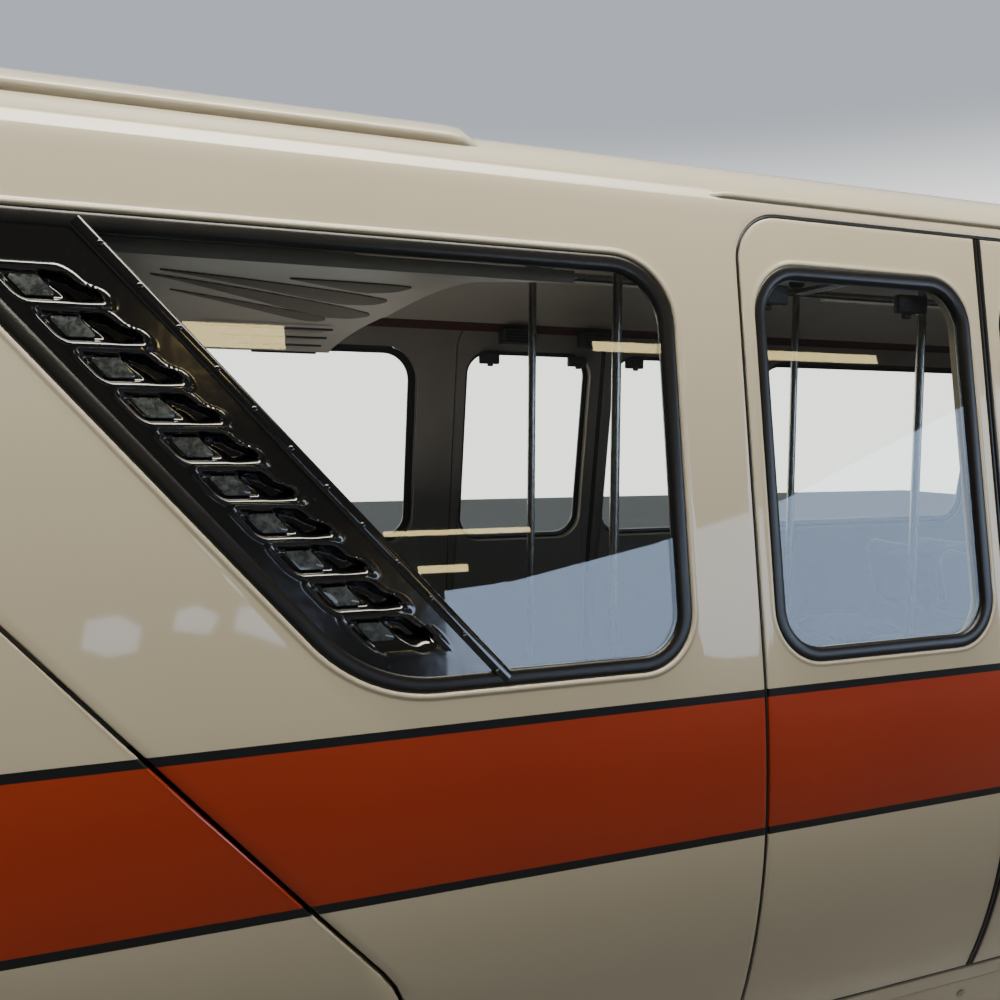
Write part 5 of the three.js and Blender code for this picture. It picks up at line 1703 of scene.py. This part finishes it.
def add_bogie(name, x, inboard):
    """On each bogie's frame: bellows over the air springs, a finned motor cover, bolts, rings on the
    guide wheels' hangers and caps on the axle's bearings."""
    body = f"{name}_bogie"
    bellows, fins, bolts = Shape(), Shape(), Shape()
    z = np.linspace(0.172, 0.3392, 37)
    t = np.linspace(0, 1, len(z))
    r = 0.1115 + 0.016 * np.abs(np.sin(np.pi * 3 * t)) ** 0.7
    for side in SIDES.values():
        y = side * SPRING_Y
        turned(bellows, [(0, z[0]), *zip(r, z), (0, z[-1])], (x, y, 0), "z", 48)
        for reach in (-HANGER_REACH, HANGER_REACH):
            for profile in HANGER_RINGS:
                turned(bolts, profile, (x + reach, y, 0), "z", 32)
        for k in range(9):
            at = np.array([x + inboard * (-0.60 + 0.2 * k), side * 0.6405, 0.130])
            stud(bolts, at, np.array([0, side, 0]), 0.013, 0.008, 6)
        turned(bolts, mirrored(CAP, side)[::side], (x, 0, AXLE_Z), "y", 48)
    ends = sorted((x + inboard * 0.575, x + inboard * 0.985))
    for low in 0.180 + 0.012 * np.arange(12):
        block(fins, ends, (-0.2335, 0.2335), (low, low + 0.005), 0.002)
    bellows.make(f"{name}_air_springs", COVER_RUBBER, body, sharp=70)
    fins.make(f"{name}_motor_fins", IRON, body, sharp=40)
    bolts.make(f"{name}_bogie_bolts", HUB_PAINT, body, sharp=40)


def add_underframe():
    """Small things below the floor: cross members, pipes, boxes and the drawbar's pin."""
    parts = Shape()
    for x in (-4.1, -3.6, -1.2, -0.5, 0.2, 0.9, 1.6, 2.3, 3.0):
        block(parts, (x - 0.03, x + 0.03), (-1.05, 1.05), (0.275, 0.3395), 0.006)
    sag = 0.262 + 0.004 * np.sin(np.linspace(0, 40, 60))
    for y in (-0.95, -0.88, 0.90):
        tube(parts, np.stack([np.linspace(-4.6, 5.1, 60), np.full(60, y), sag], axis=1), 0.013, 10)
    for xs, ys, foot in (
        ((-0.35, 0.75), (-0.86, -0.46), 0.085), ((-0.35, 0.75), (0.46, 0.86), 0.085),
        ((1.35, 2.20), (-0.80, 0.80), 0.120),
    ):
        block(parts, xs, ys, (foot, 0.276), 0.012)
    parts.make("underframe_members", IRON, sharp=40)
    profile = [
        (0, 0.172), (0.030, 0.172), (0.034, 0.178), (0.034, 0.189), (0.060, 0.189), (0.060, 0.311),
        (0.034, 0.311), (0.034, 0.326), (0.028, 0.332), (0, 0.332),
    ]
    turned(Shape(), profile, (5.400, 0, 0), "z", 40).make("drawbar_pin", HUB_PAINT, sharp=40)


# Everything together

GUIDE_WHEELS = (
    # name, x from the bogie's middle, z
    ("guide_wheel_1", -HANGER_REACH, -0.150),
    ("guide_wheel_2", HANGER_REACH, -0.150),
    ("lower_wheel", 0.0, -0.480),
)

for side_name, side_sign in SIDES.items():
    add_side_wall(side_name, side_sign)
    add_side_windows(side_name, side_sign)
    add_louvre_panel(side_name, side_sign)
    add_passenger_doors(side_name, side_sign)
    add_cab_door(side_name, side_sign)
    add_skirt(side_name, side_sign)
add_roof()
add_nose()
add_end_cover()
add_bulkhead()
add_ceiling()
add_fittings()
add_poles()
add_floor()
add_cab()
add_seats()
add_underframe()
for bogie_name, (bogie_x, inboard_way) in BOGIES.items():
    add_wheels(bogie_name, bogie_x)
    add_bogie(bogie_name, bogie_x, inboard_way)
    for side_name, side_sign in SIDES.items():
        for wheel, reach, height in GUIDE_WHEELS:
            place = (bogie_x + reach, side_sign * SPRING_Y, height)
            add_guide_wheel(f"{bogie_name}_{side_name}_{wheel}", place)

for node_name in ("floor_pan", "front_bogie_frame", "rear_bogie_frame"):
    node = bpy.data.objects[node_name]
    node.data.materials.clear()
    node.data.materials.append(IRON)


# Floor and light

def pale_floor():
    """A plain pale floor under the skirts' feet."""
    f = Finish("pale_floor", roughness=0.9, specular_ior_level=0.0)
    f.set("Base Color", f.mix(f.noise(0.6, 3.0), (0.46, 0.455, 0.445), (0.50, 0.495, 0.485)))
    return f.material


def add_stage():
    size = 30.0
    side = np.linspace(-size, size, 3)
    grid = np.stack([*np.meshgrid(side, side, indexing="ij"), np.full((3, 3), -0.603)], axis=-1)
    mesh = bpy.data.meshes.new("stage_floor")
    corners = [(k, k + 3, k + 4, k + 1) for k in (0, 1, 3, 4)]
    mesh.from_pydata(grid.reshape(-1, 3).tolist(), [], corners)
    mesh.materials.append(pale_floor())
    floor = bpy.data.objects.new("stage_floor", mesh)
    bpy.context.scene.collection.objects.link(floor)


def add_light(name, place, aim, size, energy, colour, spread=180.0, gloss_only=False, unseen=False):
    """An area light of (width, height) at place, facing aim, narrowed to spread in degrees. One that
    is gloss_only is a card that shows only in reflections, and one that is unseen shows in none."""
    lamp_data = bpy.data.lights.new(name, "AREA")
    lamp_data.shape = "RECTANGLE"
    lamp_data.size, lamp_data.size_y = size
    lamp_data.energy, lamp_data.color = energy, colour
    lamp_data.spread = math.radians(spread)
    light = bpy.data.objects.new(name, lamp_data)
    light.location = place
    light.rotation_euler = (Vector(aim) - Vector(place)).to_track_quat("-Z", "Y").to_euler()
    light.visible_diffuse, light.visible_glossy = not gloss_only, not unseen
    bpy.context.scene.collection.objects.link(light)


# Outlines of pale cards beside the car, as (x, z): they stand where an open side's sky would be
# mirrored in the lower part of the windows and in the paint, and only the car's gloss shows them.
CARD_Y = -11.0
CARDS = (((0.95, 1.55), (5.5, 1.55), (20.0, 1.90), (20.0, 9.60), (11.2, 5.72), (6.7, 3.97), (4.3, 3.36),
          (2.0, 2.92), (1.02, 2.84)),
         ((-3.40, 2.42), (-3.10, 2.30), (-2.80, 2.34), (-2.74, 2.62), (-3.00, 2.78), (-3.34, 2.74)),
         ((-2.40, 2.56), (-1.98, 2.48), (-1.86, 2.70), (-2.10, 2.84), (-2.34, 2.80)),
         ((-1.70, 2.52), (-1.10, 2.28), (-0.78, 2.30), (-0.74, 2.50), (-1.10, 2.68), (-1.62, 2.80)))


def add_card():
    card_mesh = bpy.data.meshes.new("mirror_card")
    points = [(x, CARD_Y, z) for card in CARDS for x, z in card]
    ends = np.cumsum([len(card) for card in CARDS]).tolist()
    faces = [tuple(range(end - len(card), end)) for card, end in zip(CARDS, ends)]
    card_mesh.from_pydata(points, [], faces)
    f = Finish("card_glow")
    glow = f.node("ShaderNodeEmission", None, {"Color": (0.60, 0.74, 1.0), "Strength": 5.0})
    f.tree.links.new(glow.socket, f.output.inputs["Surface"])
    card_mesh.materials.append(f.material)
    card = bpy.data.objects.new("mirror_card", card_mesh)
    card.visible_camera = card.visible_diffuse = card.visible_shadow = card.visible_transmission = False
    bpy.context.scene.collection.objects.link(card)


def add_world():
    """A studio with a dim near side and a pale far side, palest at the horizon."""
    world = bpy.data.worlds.new("studio_world")
    world.use_nodes = True
    nodes, links = world.node_tree.nodes, world.node_tree.links
    split = nodes.new("ShaderNodeSeparateXYZ")
    links.new(nodes.new("ShaderNodeTexCoord").outputs["Generated"], split.inputs[0])

    def blended(axis, low, high, first, second):
        share = nodes.new("ShaderNodeMapRange")
        share.interpolation_type = "SMOOTHSTEP"
        share.inputs["From Min"].default_value, share.inputs["From Max"].default_value = low, high
        links.new(split.outputs[axis], share.inputs["Value"])
        blend = nodes.new("ShaderNodeMix")
        blend.data_type = "RGBA"
        links.new(share.outputs[0], blend.inputs[0])
        for place, colour in ((6, first), (7, second)):
            if isinstance(colour, tuple):
                blend.inputs[place].default_value = (*colour, 1.0)
            else:
                links.new(colour, blend.inputs[place])
        return blend.outputs[2]

    far_side = blended("Z", 0.10, 0.32, (2.8, 2.8, 2.62), (0.50, 0.54, 0.60))
    studio = blended("Y", -0.25, 0.35, (0.060, 0.058, 0.055), far_side)
    links.new(studio, nodes["Background"].inputs["Color"])
    bpy.context.scene.world = world


ROOF_WHITE, INDOOR_WHITE, TUBE_AMBER = (1.0, 0.955, 0.82), (1.0, 0.95, 0.88), (1.0, 0.80, 0.44)
TUBE_GLOW = 34.0

add_stage()
for light_name, place, aim, size, energy, colour, more in (
    ("roof_light", (-0.6, -2.2, 4.7), (-0.6, -0.75, 2.55), (12.0, 0.8), 190.0, ROOF_WHITE, {"spread": 84.0}),
    ("side_light", (1.4, -6.0, 2.6), (1.4, -1.3, 1.2), (9.0, 2.0), 30.0, (1.0, 0.98, 0.94), {"unseen": True}),
    ("far_light", (0.5, 8.5, 3.4), (0.0, 1.0, 1.6), (15.0, 5.0), 420.0, (0.96, 0.98, 1.0), {}),
    ("top_light", (0.0, 0.0, 7.5), (0.0, 0.0, 0.0), (12.0, 4.0), 52.0, (1.0, 0.965, 0.86), {"spread": 60.0}),
    ("saloon_light", (2.2, 0.0, 1.45), (2.2, 0.0, 3.0), (5.6, 1.2), 5.0, INDOOR_WHITE, {"unseen": True}),
    ("front_seat_light", (-1.9, 0.2, 1.6), (-1.9, 0.2, 3.0), (1.3, 1.3), 9.0, INDOOR_WHITE, {"unseen": True}),
    ("near_tube", (-3.1, -1.74, 4.6), (-3.1, -1.5, 2.5), (3.2, 0.07), 15.0, TUBE_AMBER, {"gloss_only": True}),
):
    add_light(light_name, place, aim, size, energy, colour, **more)
for x, z, long, high in (
    (-1.55, 6.38, 1.3, 0.34), (4.3, 6.45, 1.2, 0.16), (8.0, 6.42, 2.3, 0.16), (1.3, 3.64, 2.1, 0.07),
    (1.03, 3.14, 0.70, 0.10),
):
    place, aim, power = (x, CARD_Y, z), (x, 0.0, z), TUBE_GLOW * long * high
    add_light("far_tube", place, aim, (long, high), power, (1.0, 0.76, 0.32), gloss_only=True)
add_card()
add_world()
